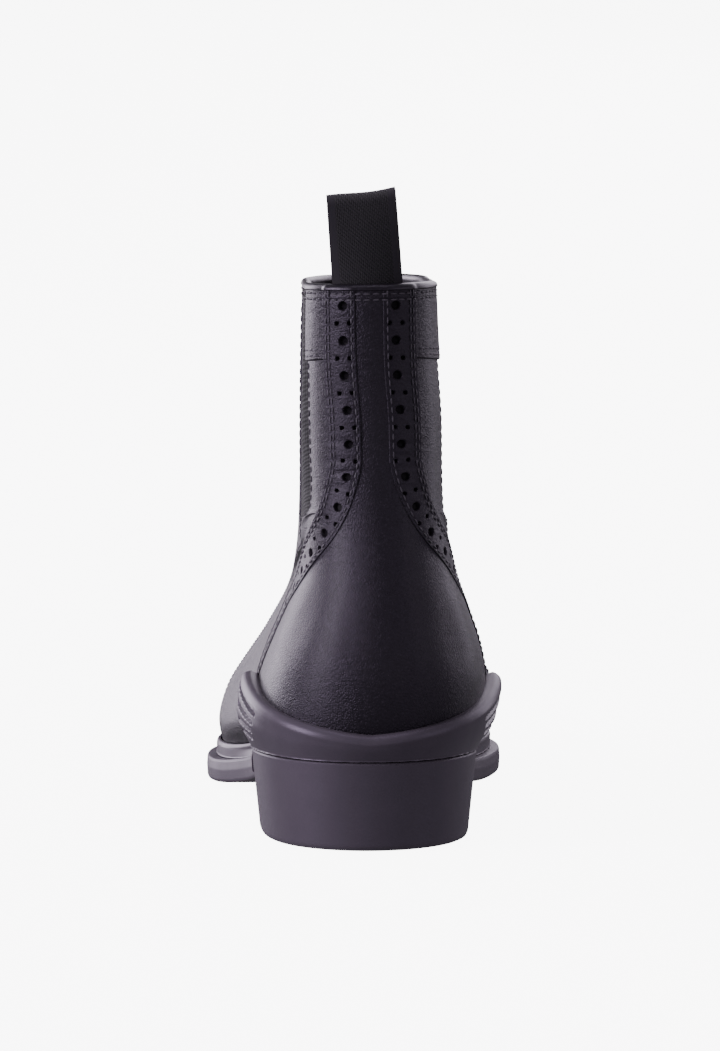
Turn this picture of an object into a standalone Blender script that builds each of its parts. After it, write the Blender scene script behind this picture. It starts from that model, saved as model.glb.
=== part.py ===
"""Paddock boot for the left foot, built from the pieces that a boot maker puts together.

Frame: +Y runs from heel to toe, +X to the inner side of the foot, +Z up, with the floor at Z = 0.
Lengths are in metres. The upper is worked out from rings that climb from the feather edge,
where upper and sole meet, to the collar. Every other piece is laid on those same rings.
"""

import functools
import math

import bmesh
import bpy
import numpy as np

# Last: the form that the upper is pulled over
LAST_LENGTH = 0.2715
BALL_WIDTH = 0.090
HEEL_WIDTH = 0.068
INSTEP_HEIGHT = 0.093
TOE_SWING = 0.008
WAIST_SWING = -0.0025
BALL_SKEW = 0.05

# Shaft
COLLAR_HEIGHT = 0.1694
COLLAR_LENGTH = 0.1152
COLLAR_WIDTH = 0.0428
COLLAR_TILT = 0.0004
ANKLE_HEIGHT = 0.116

# Heights of the feather edge above the floor
HEEL_SEAT = 0.0300
BALL_SEAT = 0.0107
TOE_SEAT = 0.0165
PITCH_END = 0.62
PITCH_CURVE = 1.3
SPRING_START = 0.74

# Wall thicknesses and clearances
UPPER_WALL = 0.0022
COUNTER_LEATHER = 0.0009
BAND_LEATHER = 0.0015
CAP_LEATHER = 0.0009
FACING_LEATHER = 0.0006
GORE_WEB = 0.0015
GORE_RECESS = 0.0006
INSOLE_THICKNESS = 0.003
GAP = 0.0003
LAY_GAP = 0.0006
CUTTER_REACH = 0.004
CUTTER_DIP = 0.001

# Sole
OUTSOLE_THICKNESS = 0.0078
MIDSOLE_THICKNESS = 0.0029
HEEL_EDGE = 0.0040
FOREPART_EDGE = 0.0022
LEDGE_WIDTH = 0.0032
LEDGE_START = 0.085
LEDGE_FULL = 0.150
HEEL_LENGTH = 0.060
HEEL_TAPER = 0.0024
EDGE_ROUND = 0.0008
BREAST_CURVE = 0.004
RAND_HEEL_WALL = 0.0045
RAND_FORE_WALL = 0.0016
RAND_THIN_FROM = 0.9
RAND_THIN_RUN = 0.0015
FORE_LIP_LEVEL = 0.28
RAND_INSIDE_CLIMB = 0.50
BREAST_GAP = 0.001
INSOLE_CHAMFER = 0.001
INSOLE_TOP_CHAMFER = 0.0006

# Heel cup wings, with their slanted slots
CUP_LEVEL = 0.72
WING_LEVEL = 2.20
WING_RISE = 1.25
WING_REACH = 0.071
WING_FRONT = 0.012
SLOT_COUNT = 4
SLOT_WIDTH = 0.0013
SLOT_DEPTH = 0.0014
SLOT_RUN = 0.0280
SLOT_FRONT = 0.0060
SLOT_TURN = 0.90
SLOT_TOP = 0.88
SLOT_STEP = 0.18
SLOT_DROP = 0.09
SLOT_PROBE = 0.05

# Counter and punched bands
STRIP_HALF = 0.0038
BAND_WIDTH = 0.0108
LIP_CLEAR = 0.07
COUNTER_FADE_LEVEL = 6.0
BAND_TURN_LEVEL = 6.5

# Elastic gores
GORE_REAR_INNER = 0.0365
GORE_REAR_OUTER = 0.0285
GORE_FRONT_TOP = 0.0860
GORE_FRONT_FOOT = 0.0795
GORE_FOOT_LEVEL = 6.2
GORE_CORNER = 0.70
GORE_FOOT_SHARE = 0.72
CUTTER_PAST = 0.006

# Facing under the collar, and toe cap
FACING_LEVEL = 8.84
CAP_LINE = 0.755

# Pull loop
LOOP_WIDTH = 0.0207
LOOP_SHIFT = -0.0009
LOOP_WEB = 0.0013
LOOP_RISE = 0.0290
LOOP_TUCK = 0.022
LOOP_GAP = 0.0050
LOOP_BACK = 0.001
LOOP_LEAN = 0.0022
LOOP_SLANT = 0.0016

# Tread channels
TREAD_DEPTH = 0.0014
TREAD_WIDTH = 0.0022
TREAD_PITCH = 0.0085
TREAD_FROM = 0.56
TREAD_TO = 0.86
TREAD_BORDER = 0.0075
HEEL_TREAD_BORDER = 0.012
HEEL_TREAD = (0.20, 0.35, 0.50, 0.65, 0.80)

# Mesh counts
AROUND_HALF = 28
RING_STEPS = 2
ARC_SAMPLES = 400

# How far each named station lies along a ring, from its back (0) to its front (1)
HEEL_STATION = 0.15
WAIST_STATION = 0.42
BALL_STATION = 0.70
TOE_STATION = 0.92
HEEL_ROUND = 0.88

# Rings, from the feather edge to the collar. back is the share of the last's length that the ring's
# back stands forward. reach is its length, as a share of last or collar. climb counts 0 to 1 from
# seat to ankle or instep, and 1 to 2 from there to the collar. shaft is how much of the ring is
# shaft. heel to toe are half widths, as shares of heel, ball and collar. blunt is the front's radius
# as a share of the toe's half width. lean is the shift inwards, as a share of the heel's width.
RING_COLUMNS = (
    "back", "reach", "back_climb", "front_climb", "shaft", "heel", "waist", "ball", "toe", "blunt", "lean",
)
RINGS = (
    (0.0000, 1.000, 0.000, 0.000, 0.00, 0.897, 0.838, 0.964, 0.567, 1.00, 0.000),
    (-0.0088, 1.036, 0.101, 0.118, 0.03, 0.973, 1.012, 1.028, 0.643, 1.00, 0.015),
    (-0.0118, 1.091, 0.219, 0.242, 0.12, 1.020, 1.055, 1.036, 0.640, 0.95, 0.036),
    (-0.0103, 1.139, 0.349, 0.353, 0.25, 0.995, 1.030, 0.964, 0.553, 0.75, 0.046),
    (-0.0037, 1.144, 0.491, 0.451, 0.40, 0.920, 0.965, 0.860, 0.478, 0.55, 0.050),
    (0.0074, 1.148, 0.645, 0.582, 0.60, 0.845, 0.905, 0.785, 0.450, 0.50, 0.050),
    (0.0177, 1.103, 0.811, 0.778, 0.75, 0.855, 0.915, 0.790, 0.475, 0.60, 0.042),
    (0.0228, 1.081, 1.000, 1.000, 0.88, 0.895, 0.950, 0.860, 0.530, 0.80, 0.034),
    (0.0236, 1.054, 1.321, 1.303, 0.95, 0.915, 0.970, 0.910, 0.560, 1.00, 0.028),
    (0.0214, 1.065, 1.660, 1.645, 1.00, 0.900, 0.955, 0.930, 0.590, 1.00, 0.018),
    (0.0177, 1.000, 2.000, 2.000, 1.00, 0.860, 0.925, 0.905, 0.590, 1.00, 0.014),
)
TOP_LEVEL = len(RINGS) - 1

# Front edge of the counter: how far round from the back it lies, as a share of the wing's reach
COUNTER_EDGE = (
    # level, reach
    (2.30, 1.000),
    (3.00, 0.852),
    (4.00, 0.676),
    (4.60, 0.486),
    (5.00, 0.366),
    (5.50, 0.225),
    (6.00, 0.140),
    (6.50, 0.094),
    (7.00, 0.061),
    (8.00, 0.054),
    (10.0, 0.054),
)

# Outer face of the rand's wall: how far up each point lies, and the share of its thickness there
RAND_FACE = (
    # climb, thickness
    (0.35, 1.00),
    (0.70, 1.00),
    (0.92, 0.85),
    (1.00, 0.45),
)


def blend(low, high, share):
    """The value that lies a share of the way from low to high."""
    return low + (high - low) * share


def ease(share):
    """0 to 1 with a soft start and end."""
    share = np.clip(share, 0.0, 1.0)
    return share * share * (3.0 - 2.0 * share)


def curve_through(knots, values, at):
    """A smooth curve through values at rising knots."""
    knots = np.asarray(knots, float)
    values = np.asarray(values, float)
    at = np.clip(at, knots[0], knots[-1])
    steps = np.diff(knots)
    rises = np.diff(values) / steps
    slopes = np.empty_like(values)
    slopes[0], slopes[-1] = rises[0], rises[-1]
    slopes[1:-1] = (rises[:-1] * steps[1:] + rises[1:] * steps[:-1]) / (steps[:-1] + steps[1:])
    i = np.clip(np.searchsorted(knots, at, side="right") - 1, 0, len(steps) - 1)
    h = steps[i]
    u = (at - knots[i]) / h
    return (
        values[i] * (1 + 2 * u) * (1 - u) ** 2
        + slopes[i] * h * u * (1 - u) ** 2
        + values[i + 1] * u * u * (3 - 2 * u)
        + slopes[i + 1] * h * u * u * (u - 1)
    )


def seat_height(y):
    """Height of the feather edge at y: level at the ball, raised at the heel and sprung at the toe."""
    share = np.asarray(y, float) / LAST_LENGTH
    pitch = 1.0 - ease((np.clip(share, 0.0, None) / PITCH_END) ** PITCH_CURVE)
    spring = (np.clip(share - SPRING_START, 0.0, None) / (1.0 - SPRING_START)) ** 2
    return BALL_SEAT + (HEEL_SEAT - BALL_SEAT) * pitch + (TOE_SEAT - BALL_SEAT) * spring


def climb_height(climb, foot, bend):
    """Height after climbing from foot to bend (0 to 1) and on to the collar (1 to 2)."""
    return blend(foot, bend, climb) if climb <= 1.0 else blend(bend, COLLAR_HEIGHT, climb - 1.0)


@functools.lru_cache(maxsize=None)
def ring_row(level):
    """The ring table's columns at any level, with the ring's real lengths worked out."""
    columns = np.array(RINGS).T
    levels = range(len(RINGS))
    row = {name: float(curve_through(levels, column, level)) for name, column in zip(RING_COLUMNS, columns)}
    shaft = row["shaft"]
    row["length"] = row["reach"] * blend(LAST_LENGTH, COLLAR_LENGTH, shaft)
    row["y"] = row["back"] * LAST_LENGTH
    row["back_z"] = climb_height(row["back_climb"], HEEL_SEAT, ANKLE_HEIGHT)
    row["front_z"] = climb_height(row["front_climb"], TOE_SEAT, INSTEP_HEIGHT)
    heel_unit = blend(HEEL_WIDTH, COLLAR_WIDTH, shaft) / 2
    ball_unit = blend(BALL_WIDTH, COLLAR_WIDTH, shaft) / 2
    row["halves"] = (row["heel"] * heel_unit, row["waist"] * heel_unit, row["ball"] * ball_unit,
                     row["toe"] * ball_unit)
    return row


def ring_point(level, turn):
    """A point of the upper's outer face. turn is 0 at the back, pi at the front, + on the inner side."""
    row = ring_row(float(level))
    turn = np.asarray(turn, float)
    share = (1.0 - np.cos(turn)) / 2.0
    heel, waist, ball, toe = row["halves"]
    ends = [math.sqrt(2 * r * row["length"]) / 2 for r in (HEEL_ROUND * heel, row["blunt"] * toe)]
    fullness = []
    for side in (1.0, -1.0):
        ball_at = BALL_STATION + side * BALL_SKEW * (1.0 - row["shaft"])
        stations = (HEEL_STATION, WAIST_STATION, ball_at, TOE_STATION)
        inner = [w / (2 * math.sqrt(s * (1 - s))) for w, s in zip(row["halves"], stations)]
        fullness.append(curve_through((0.0, *stations, 1.0), (ends[0], *inner, ends[1]), share))
    half = np.where(np.sin(turn) >= 0, fullness[0], fullness[1]) * np.sin(turn)
    y = row["y"] + row["length"] * share
    along = y / LAST_LENGTH
    swing = curve_through((-0.1, HEEL_STATION, WAIST_STATION, BALL_STATION, 1.1),
                          (0.0, 0.0, WAIST_SWING, 0.0, TOE_SWING), along)
    x = swing * (1.0 - row["shaft"]) + row["lean"] * HEEL_WIDTH + half
    straight = blend(row["back_z"], row["front_z"], share)
    seat_line = blend(seat_height(row["y"]), seat_height(row["y"] + row["length"]), share)
    z = straight + (1.0 - row["shaft"]) * (seat_height(y) - seat_line)
    z = z + COLLAR_TILT * row["shaft"] ** 4 * np.sin(turn)
    return np.stack([x, y, z], axis=-1)


def outward(level, turn):
    """Unit normal of the upper's outer face."""
    step = 0.002
    low, high = max(level - 0.02, 0.0), min(level + 0.02, float(TOP_LEVEL))
    round_way = ring_point(level, turn + step) - ring_point(level, turn - step)
    up_way = ring_point(high, turn) - ring_point(low, turn)
    normal = np.cross(round_way, up_way)
    return normal / np.linalg.norm(normal, axis=-1, keepdims=True)


@functools.lru_cache(maxsize=None)
def ring_arcs(level, side):
    """Turns along one half of a ring and the distance round from its back at each."""
    turns = np.linspace(0.0, math.pi, ARC_SAMPLES) * side
    points = ring_point(level, turns)
    steps = np.linalg.norm(np.diff(points, axis=0), axis=1)
    return turns, np.concatenate([[0.0], np.cumsum(steps)])


def half_girth(level):
    """Distance from a ring's back to its front, along the inner side."""
    return ring_arcs(float(level), 1)[1][-1]


def turn_at(level, arc):
    """The turn at a signed distance round from the back of a ring."""
    turns, arcs = ring_arcs(round(float(level), 5), 1 if arc >= 0 else -1)
    return float(np.interp(abs(arc), arcs, turns))


def on_upper(level, arc, lift=0.0):
    """A point lifted off the upper's outer face, a signed distance round from the back."""
    turn = turn_at(level, arc)
    return ring_point(level, turn) + outward(level, turn) * lift


def level_size(level, arc):
    """Real distance on the upper that one unit of level spans there."""
    low, high = max(level - 0.1, 0.0), min(level + 0.1, float(TOP_LEVEL))
    return float(np.linalg.norm(on_upper(high, arc) - on_upper(low, arc))) / (high - low)


def make_object(name, vertices, faces, material):
    """One named object from vertices and faces, closed and facing outwards."""
    mesh = bpy.data.meshes.new(name)
    form = bmesh.new()
    made = [form.verts.new(v) for v in vertices]
    for face in faces:
        if len(set(face)) == len(face):
            form.faces.new([made[i] for i in face])
    bmesh.ops.remove_doubles(form, verts=form.verts, dist=1e-7)
    bmesh.ops.dissolve_degenerate(form, edges=form.edges, dist=1e-8)
    bmesh.ops.recalc_face_normals(form, faces=form.faces)
    form.to_mesh(mesh)
    form.free()
    thing = bpy.data.objects.new(name, mesh)
    bpy.context.scene.collection.objects.link(thing)
    if material is not None:
        mesh.materials.append(material)
        mesh.shade_smooth()
        mesh.set_sharp_from_angle(angle=math.radians(40))
    return thing


def make_wall(name, outer, inner, material, wraps=False):
    """A solid between two grids of points, closed round its edges."""
    rows, columns = outer.shape[:2]
    vertices = np.concatenate([outer.reshape(-1, 3), inner.reshape(-1, 3)])
    faces = []
    last = columns if wraps else columns - 1

    def corner(row, column, layer):
        return layer * rows * columns + row * columns + column % columns

    for r in range(rows - 1):
        for c in range(last):
            for layer in (0, 1):
                faces.append([corner(r, c, layer), corner(r, c + 1, layer),
                              corner(r + 1, c + 1, layer), corner(r + 1, c, layer)])
    for c in range(last):
        for r in (0, rows - 1):
            faces.append([corner(r, c, 0), corner(r, c + 1, 0), corner(r, c + 1, 1), corner(r, c, 1)])
    if not wraps:
        for r in range(rows - 1):
            for c in (0, columns - 1):
                faces.append([corner(r, c, 0), corner(r + 1, c, 0), corner(r + 1, c, 1), corner(r, c, 1)])
    return make_object(name, vertices, faces, material)


def make_slab(name, layers, material):
    """A solid from stacked outlines. Each layer holds the inner side's points and the outer side's."""
    count = len(layers[0][0])
    vertices = np.concatenate([np.concatenate(layer) for layer in layers])
    faces = []

    def corner(layer, side, i):
        return layer * 2 * count + side * count + i

    for k in range(len(layers) - 1):
        for i in range(count - 1):
            for side in (0, 1):
                faces.append([corner(k, side, i), corner(k, side, i + 1),
                              corner(k + 1, side, i + 1), corner(k + 1, side, i)])
        for i in (0, count - 1):
            faces.append([corner(k, 0, i), corner(k, 1, i), corner(k + 1, 1, i), corner(k + 1, 0, i)])
    for k in (0, len(layers) - 1):
        for i in range(count - 1):
            faces.append([corner(k, 0, i), corner(k, 0, i + 1), corner(k, 1, i + 1), corner(k, 1, i)])
    return make_object(name, vertices, faces, material)


def cut(target, cutters):
    """Cuts cutters out of target for good, and removes them."""
    for cutter in cutters:
        step = target.modifiers.new("cut", "BOOLEAN")
        step.operation = "DIFFERENCE"
        step.solver = "EXACT"
        step.object = cutter
    graph = bpy.context.evaluated_depsgraph_get()
    graph.update()
    result = bpy.data.meshes.new_from_object(target.evaluated_get(graph))
    target.modifiers.clear()
    target.data = result
    for cutter in cutters:
        bpy.data.objects.remove(cutter)


def make_material(name, colour, roughness, metallic=0.0):
    """A plain finish for one kind of piece."""
    material = bpy.data.materials.new(name)
    material.use_nodes = True
    shader = material.node_tree.nodes["Principled BSDF"]
    shader.inputs["Base Color"].default_value = (*colour, 1.0)
    shader.inputs["Roughness"].default_value = roughness
    shader.inputs["Metallic"].default_value = metallic
    return material


def counter_reach(level):
    """Distance round from the back to the counter's front edge."""
    levels, shares = np.array(COUNTER_EDGE).T
    strip = STRIP_HALF + GAP
    share = float(curve_through(levels, shares, level))
    return max(strip, share * WING_REACH)


def upper_grid(levels, arcs, lift):
    """Points lifted off the upper, for rows of levels and distances round."""
    rows = [[on_upper(level, arc, lift) for level, arc in zip(*row)] for row in zip(levels, arcs)]
    return np.array(rows)


def lay(name, levels, arcs, low, high, material):
    """A piece of leather or web laid on the upper over a grid of levels and distances round."""
    grids = []
    for lift in (high, low):
        grids.append(upper_grid(levels, arcs, lift))
    return make_wall(name, grids[0], grids[1], material)


def ribbon_grid(path, across):
    """Levels and distances round for strips beside a path, each across from it by a real distance."""
    path = np.asarray(path, float)
    levels, arcs = [], []
    for i, (level, arc) in enumerate(path):
        before, after = path[max(i - 1, 0)], path[min(i + 1, len(path) - 1)]
        size = level_size(level, arc)
        run = np.array([(after[0] - before[0]) * size, after[1] - before[1]])
        run /= np.linalg.norm(run)
        levels.append([level - a * run[1] / size for a in across])
        arcs.append([arc + a * run[0] for a in across])
    return np.clip(levels, 0.0, TOP_LEVEL), arcs


def build_upper(leather):
    """The hollow upper, with an opening for each gore."""
    levels = np.linspace(0, TOP_LEVEL, TOP_LEVEL * RING_STEPS + 1)
    turns = np.linspace(0, 2 * math.pi, 2 * AROUND_HALF, endpoint=False)
    outer = np.array([ring_point(level, turns) for level in levels])
    wall = np.array([outward(level, turns) * UPPER_WALL for level in levels])
    upper = make_wall("upper", outer, outer - wall, leather, wraps=True)
    cut(upper, [gore_cutter(side) for side in (1, -1)])
    return upper


def gore_rear(side):
    """Distance round from the back to a gore's rear edge."""
    return GORE_REAR_INNER if side > 0 else GORE_REAR_OUTER


def gore_outline(side, spare):
    """Levels and distances round for a gore, grown by spare, with soft lower corners."""
    rear = gore_rear(side)
    foot = GORE_FOOT_LEVEL - spare / level_size(GORE_FOOT_LEVEL, rear)
    climbs = np.concatenate([foot + GORE_CORNER * np.array([0.0, 0.12, 0.4, 1.0]),
                             np.linspace(foot + GORE_CORNER, TOP_LEVEL, 7)[1:]])
    levels, arcs = [], []
    for level in climbs:
        share = (level - GORE_FOOT_LEVEL) / (TOP_LEVEL - GORE_FOOT_LEVEL)
        front = blend(GORE_FRONT_FOOT, GORE_FRONT_TOP, share)
        middle = (rear + front) / 2
        depth = np.clip((level - foot) / GORE_CORNER, 0.0, 1.0)
        rounding = blend(GORE_FOOT_SHARE, 1.0, math.sqrt(1 - (1 - depth) ** 2))
        half = ((front - rear) / 2 + spare) * rounding
        spread = np.linspace(-half, half, 7)
        levels.append([level] * len(spread))
        arcs.append([side * (middle + s) for s in spread])
    return levels, arcs


def gore_cutter(side):
    """The tool that opens the upper for a gore, through its wall and past the collar."""
    levels, arcs = gore_outline(side, 0.0)
    grids = []
    for lift in (CUTTER_REACH, -UPPER_WALL - CUTTER_REACH):
        grid = upper_grid(levels, arcs, lift)
        lifted = grid[-1:] + np.array([0.0, 0.0, CUTTER_PAST])
        grids.append(np.concatenate([grid, lifted]))
    return make_wall("gore_cutter", grids[0], grids[1], None)


def build_gore(name, side, web):
    """An elastic gore, set back from the leather."""
    levels, arcs = gore_outline(side, -GAP)
    return lay(name, levels, arcs, -GORE_RECESS - GORE_WEB, -GORE_RECESS, web)


def counter_heights():
    """Levels of the rows that the counter and the punched bands share."""
    foot = WING_LEVEL + LIP_CLEAR
    flared = np.linspace(foot, BAND_TURN_LEVEL, 11)
    straight = np.linspace(BAND_TURN_LEVEL, TOP_LEVEL, 5)
    return np.concatenate([flared, straight[1:]])


def build_counter(leather):
    """The heel counter and the strip that runs from it up the back seam, in one piece."""
    heights = counter_heights()
    foot = heights[0]
    levels, arcs = [], []
    for height in heights:
        reach = counter_reach(height) - GAP
        fade = np.clip((COUNTER_FADE_LEVEL - height) / (COUNTER_FADE_LEVEL - foot), 0.0, 1.0) ** 1.5
        across = reach * np.linspace(-1.0, 1.0, 21)
        levels.append([height - fade * (rand_level(reach) - rand_level(abs(a))) for a in across])
        arcs.append(list(across))
    return lay("counter", levels, arcs, LAY_GAP, LAY_GAP + COUNTER_LEATHER, leather)


def build_band(name, side, leather):
    """The punched band that covers the counter's front edge, from the collar to the wing."""
    path = [(h, counter_reach(h)) for h in counter_heights()]
    levels, arcs = ribbon_grid(path, np.linspace(GAP / 2, BAND_WIDTH, 5))
    for row, share in ((1, 0.4), (0, 1.0)):
        drops = [level - rand_level(a) - LIP_CLEAR for level, a in zip(levels[0], arcs[0])]
        levels[row] = [level - share * drop for level, drop in zip(levels[row], drops)]
    levels[-1] = TOP_LEVEL
    arcs = [[side * a for a in row] for row in arcs]
    return lay(name, levels, arcs, LAY_GAP, LAY_GAP + BAND_LEATHER, leather)


def build_facing(name, side, leather):
    """The facing under the collar, between the punched band and the gore."""
    near = counter_reach(TOP_LEVEL) + BAND_WIDTH + GAP
    far = gore_rear(side) - GAP
    levels = [[level] * 6 for level in np.linspace(FACING_LEVEL, TOP_LEVEL, 4)]
    arcs = [[side * a for a in np.linspace(near, far, 6)]] * 4
    return lay(name, levels, arcs, LAY_GAP, LAY_GAP + FACING_LEATHER, leather)


def build_toe_cap(leather):
    """The toe cap, from the rand up and back to a line across the vamp."""
    line = CAP_LINE * LAST_LENGTH
    foot = FORE_LIP_LEVEL + LIP_CLEAR
    tries = np.linspace(foot, TOP_LEVEL, 300)
    fronts = [ring_row(float(level))["y"] + ring_row(float(level))["length"] for level in tries]
    top = float(np.interp(-line, [-front for front in fronts[30:]], tries[30:]))
    heights = top - (top - foot) * np.linspace(1.0, 0.0, 16) ** 1.5
    across = np.linspace(-1.0, 1.0, 17)
    outer, inner = [], []
    for height in heights:
        row = ring_row(float(height))
        share = np.clip((line - row["y"]) / row["length"], 0.0, 0.9995)
        turns = math.pi + across * (math.pi - math.acos(1 - 2 * share))
        turns = np.where(turns > math.pi, turns - 2 * math.pi, turns)
        points, normals = ring_point(height, turns), outward(height, turns)
        outer.append(points + normals * (LAY_GAP + CAP_LEATHER))
        inner.append(points + normals * LAY_GAP)
    return make_wall("toe_cap", np.array(outer), np.array(inner), leather)


def rand_arc(station, level):
    """Distance round at a level for a station named by its distance round the ring above the feather."""
    girth = half_girth(1.0)
    return station + (half_girth(level) - girth) * (station / girth) ** 3


def rand_level(station):
    """Level of the rand's upper edge: low at the back, high at the wing, and a low lip further on."""
    if station <= WING_REACH:
        return blend(CUP_LEVEL, WING_LEVEL, (station / WING_REACH) ** WING_RISE)
    past = (station - WING_REACH) / WING_FRONT
    if past < 1.0:
        return blend(FORE_LIP_LEVEL, WING_LEVEL, math.sqrt(1 - past * past))
    return FORE_LIP_LEVEL


def rand_wall(station):
    """Thickness of the rand beside the upper."""
    past = (station - WING_REACH - WING_FRONT * RAND_THIN_FROM) / RAND_THIN_RUN
    return blend(RAND_HEEL_WALL, RAND_FORE_WALL, float(ease(past)))


def edge_point(station, side, margin, height):
    """A point of the sole, a margin outside the feather edge."""
    arc = rand_arc(station, 0.0)
    turn = turn_at(0.0, side * arc)
    step = 0.01
    along = ring_point(0.0, turn + step) - ring_point(0.0, turn - step)
    flat = np.array([along[1], -along[0], 0.0])
    point = ring_point(0.0, turn) + margin * flat / np.linalg.norm(flat)
    point[2] = height(point[1])
    return point


def rand_margin(y):
    """How far the rand's lower edge stands outside the feather edge."""
    return blend(HEEL_EDGE, FOREPART_EDGE, float(ease((y - HEEL_LENGTH) / (LEDGE_FULL - HEEL_LENGTH))))


def ledge(y):
    """Width of the step that the outsole leaves outside the rand."""
    return LEDGE_WIDTH * float(ease((y - LEDGE_START) / (LEDGE_FULL - LEDGE_START)))


def outsole_top(y):
    """Height of the joint between the rand and what lies under it."""
    return float(seat_height(y)) - MIDSOLE_THICKNESS


def outsole_foot(y):
    """Height of the outsole's underside."""
    return outsole_top(y) - OUTSOLE_THICKNESS


def stations_between(low, high, count):
    """Stations round the sole, closer together towards both ends."""
    return [blend(low, high, (1 - math.cos(math.pi * i / count)) / 2) for i in range(count + 1)]


def sole_layer(spans, margin, height):
    """One outline of a sole piece, as inner and outer side points. spans holds each side's stations."""
    sides = []
    for side, stations in zip((1, -1), spans):
        points = []
        for station in stations:
            y = float(ring_point(0.0, turn_at(0.0, side * rand_arc(station, 0.0)))[1])
            points.append(edge_point(station, side, margin(y), height))
        sides.append(np.array(points))
    return tuple(sides)


def rand_section(station, side):
    """The rand's section at a station: up its outer face from the foot, over the lip and down inside."""
    level, wall = rand_level(station), rand_wall(station)
    y = float(ring_point(0.0, turn_at(0.0, side * rand_arc(station, 0.0)))[1])

    def beside(climb, lift):
        return on_upper(climb * level, side * rand_arc(station, climb * level), lift)

    return [
        edge_point(station, side, rand_margin(y), lambda along: outsole_top(along) + GAP),
        *(beside(climb, LAY_GAP + thickness * wall) for climb, thickness in RAND_FACE),
        beside(1.0, LAY_GAP),
        beside(RAND_INSIDE_CLIMB, LAY_GAP),
        edge_point(station, side, LAY_GAP, lambda along: float(seat_height(along)) - GAP),
    ]


def rand_face(station, side, share):
    """A point of the rand's outer face, a share of the way from its foot to where its lip turns in."""
    face = np.array(rand_section(station, side)[:len(RAND_FACE)])
    runs = np.linalg.norm(np.diff(face, axis=0), axis=1)
    climbed = np.concatenate([[0.0], np.cumsum(runs)]) / runs.sum()
    return np.array([np.interp(share, climbed, face[:, axis]) for axis in range(3)])


def build_rand(rubber):
    """The rand: a deck under the foot with a wall round it that rises into a heel cup with wings."""
    toe = half_girth(1.0)
    front = WING_REACH + WING_FRONT
    stations = [
        *np.linspace(0.0, WING_REACH, 13),
        *(WING_REACH + WING_FRONT * np.array([0.35, 0.65, 0.85, 0.95, 1.0])),
        *stations_between(front, toe, 26)[1:],
    ]
    sections = [np.array([rand_section(s, side) for s in stations]) for side in (1, -1)]
    layers = [(sections[0][:, k], sections[1][:, k]) for k in range(sections[0].shape[1])]
    rand = make_slab("rand", layers, rubber)
    cut(rand, [slot_cutter(side, i) for side in (1, -1) for i in range(SLOT_COUNT)])
    return rand


def slot_cutter(side, index):
    """The tool for one slanted slot of a wing."""
    high = SLOT_TOP - SLOT_STEP * index
    front = WING_REACH + SLOT_FRONT * (1.0 - SLOT_TURN * (high / SLOT_TOP) ** 2)
    rows = []
    for s in np.linspace(0.0, 1.0, 4):
        station = front - SLOT_RUN * s
        share = high - SLOT_DROP * s
        here = rand_face(station, side, share)
        along = rand_face(station - SLOT_WIDTH, side, share - SLOT_DROP * SLOT_WIDTH / SLOT_RUN) - here
        up = rand_face(station, side, share + SLOT_PROBE) - here
        out = np.cross(along, up) * side
        out /= np.linalg.norm(out)
        across = np.cross(out, along)
        across *= SLOT_WIDTH / 2 / np.linalg.norm(across)
        rows.append((here, out, across))
    grids = []
    for lift in (CUTTER_REACH, -SLOT_DEPTH):
        grids.append(np.array([[h + o * lift - a, h + o * lift + a] for h, o, a in rows]))
    return make_wall("slot_cutter", grids[0], grids[1], None)


def breast_station(side):
    """Station round the sole where the heel breast meets its edge."""
    tries = np.linspace(0.0, half_girth(1.0) / 2, 200)
    ys = [float(ring_point(0.0, turn_at(0.0, side * rand_arc(s, 0.0)))[1]) for s in tries]
    return float(np.interp(HEEL_LENGTH, ys, tries))


def build_outsole(rubber):
    """The forepart of the outsole, from the heel breast to the toe, with a step outside the rand."""
    toe = half_girth(1.0)
    spans = [stations_between(breast_station(side) + BREAST_GAP, toe, 30) for side in (1, -1)]

    def margin(y):
        return rand_margin(y) + ledge(y)

    layers = [
        sole_layer(spans, lambda y: margin(y) - EDGE_ROUND, outsole_foot),
        sole_layer(spans, margin, lambda y: outsole_foot(y) + EDGE_ROUND),
        sole_layer(spans, margin, outsole_top),
    ]
    outsole = make_slab("outsole", layers, rubber)
    flat_from, flat_to = TREAD_FROM * LAST_LENGTH, TREAD_TO * LAST_LENGTH
    count = int((flat_to - flat_from) / TREAD_PITCH)
    rows = [blend(flat_from, flat_to, (i + 0.5) / count) for i in range(count)]
    cut(outsole, [tread_cutter(y, outsole_foot(y), BALL_WIDTH / 2 - TREAD_BORDER) for y in rows])
    return outsole


def tread_cutter(y, floor, half):
    """The tool for one channel across the underside."""
    edges = (y - TREAD_WIDTH / 2, y + TREAD_WIDTH / 2)
    grids = []
    for z in (floor + TREAD_DEPTH, floor - CUTTER_DIP):
        grids.append(np.array([[[x, edge, z] for x in (-half, half)] for edge in edges]))
    return make_wall("tread_cutter", grids[0], grids[1], None)


def build_heel(rubber):
    """The heel block, narrower at the floor, with its breast face hollowed."""
    spans = [list(np.linspace(0.0, breast_station(side) - GAP, 14)) for side in (1, -1)]

    def layer(margin, height):
        inner, outer = sole_layer(spans, lambda y: margin, height)
        middle = (inner[-1] + outer[-1]) / 2 - np.array([0.0, BREAST_CURVE, 0.0])
        middle[2] = height(middle[1])
        return np.vstack([inner, middle]), np.vstack([outer, middle])

    layers = [
        layer(HEEL_EDGE - HEEL_TAPER - EDGE_ROUND, lambda y: 0.0),
        layer(HEEL_EDGE - HEEL_TAPER, lambda y: EDGE_ROUND),
        layer(HEEL_EDGE, outsole_top),
    ]
    heel = make_slab("heel", layers, rubber)
    half = HEEL_WIDTH / 2 - HEEL_TREAD_BORDER
    cut(heel, [tread_cutter(HEEL_LENGTH * share, 0.0, half) for share in HEEL_TREAD])
    return heel


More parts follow.
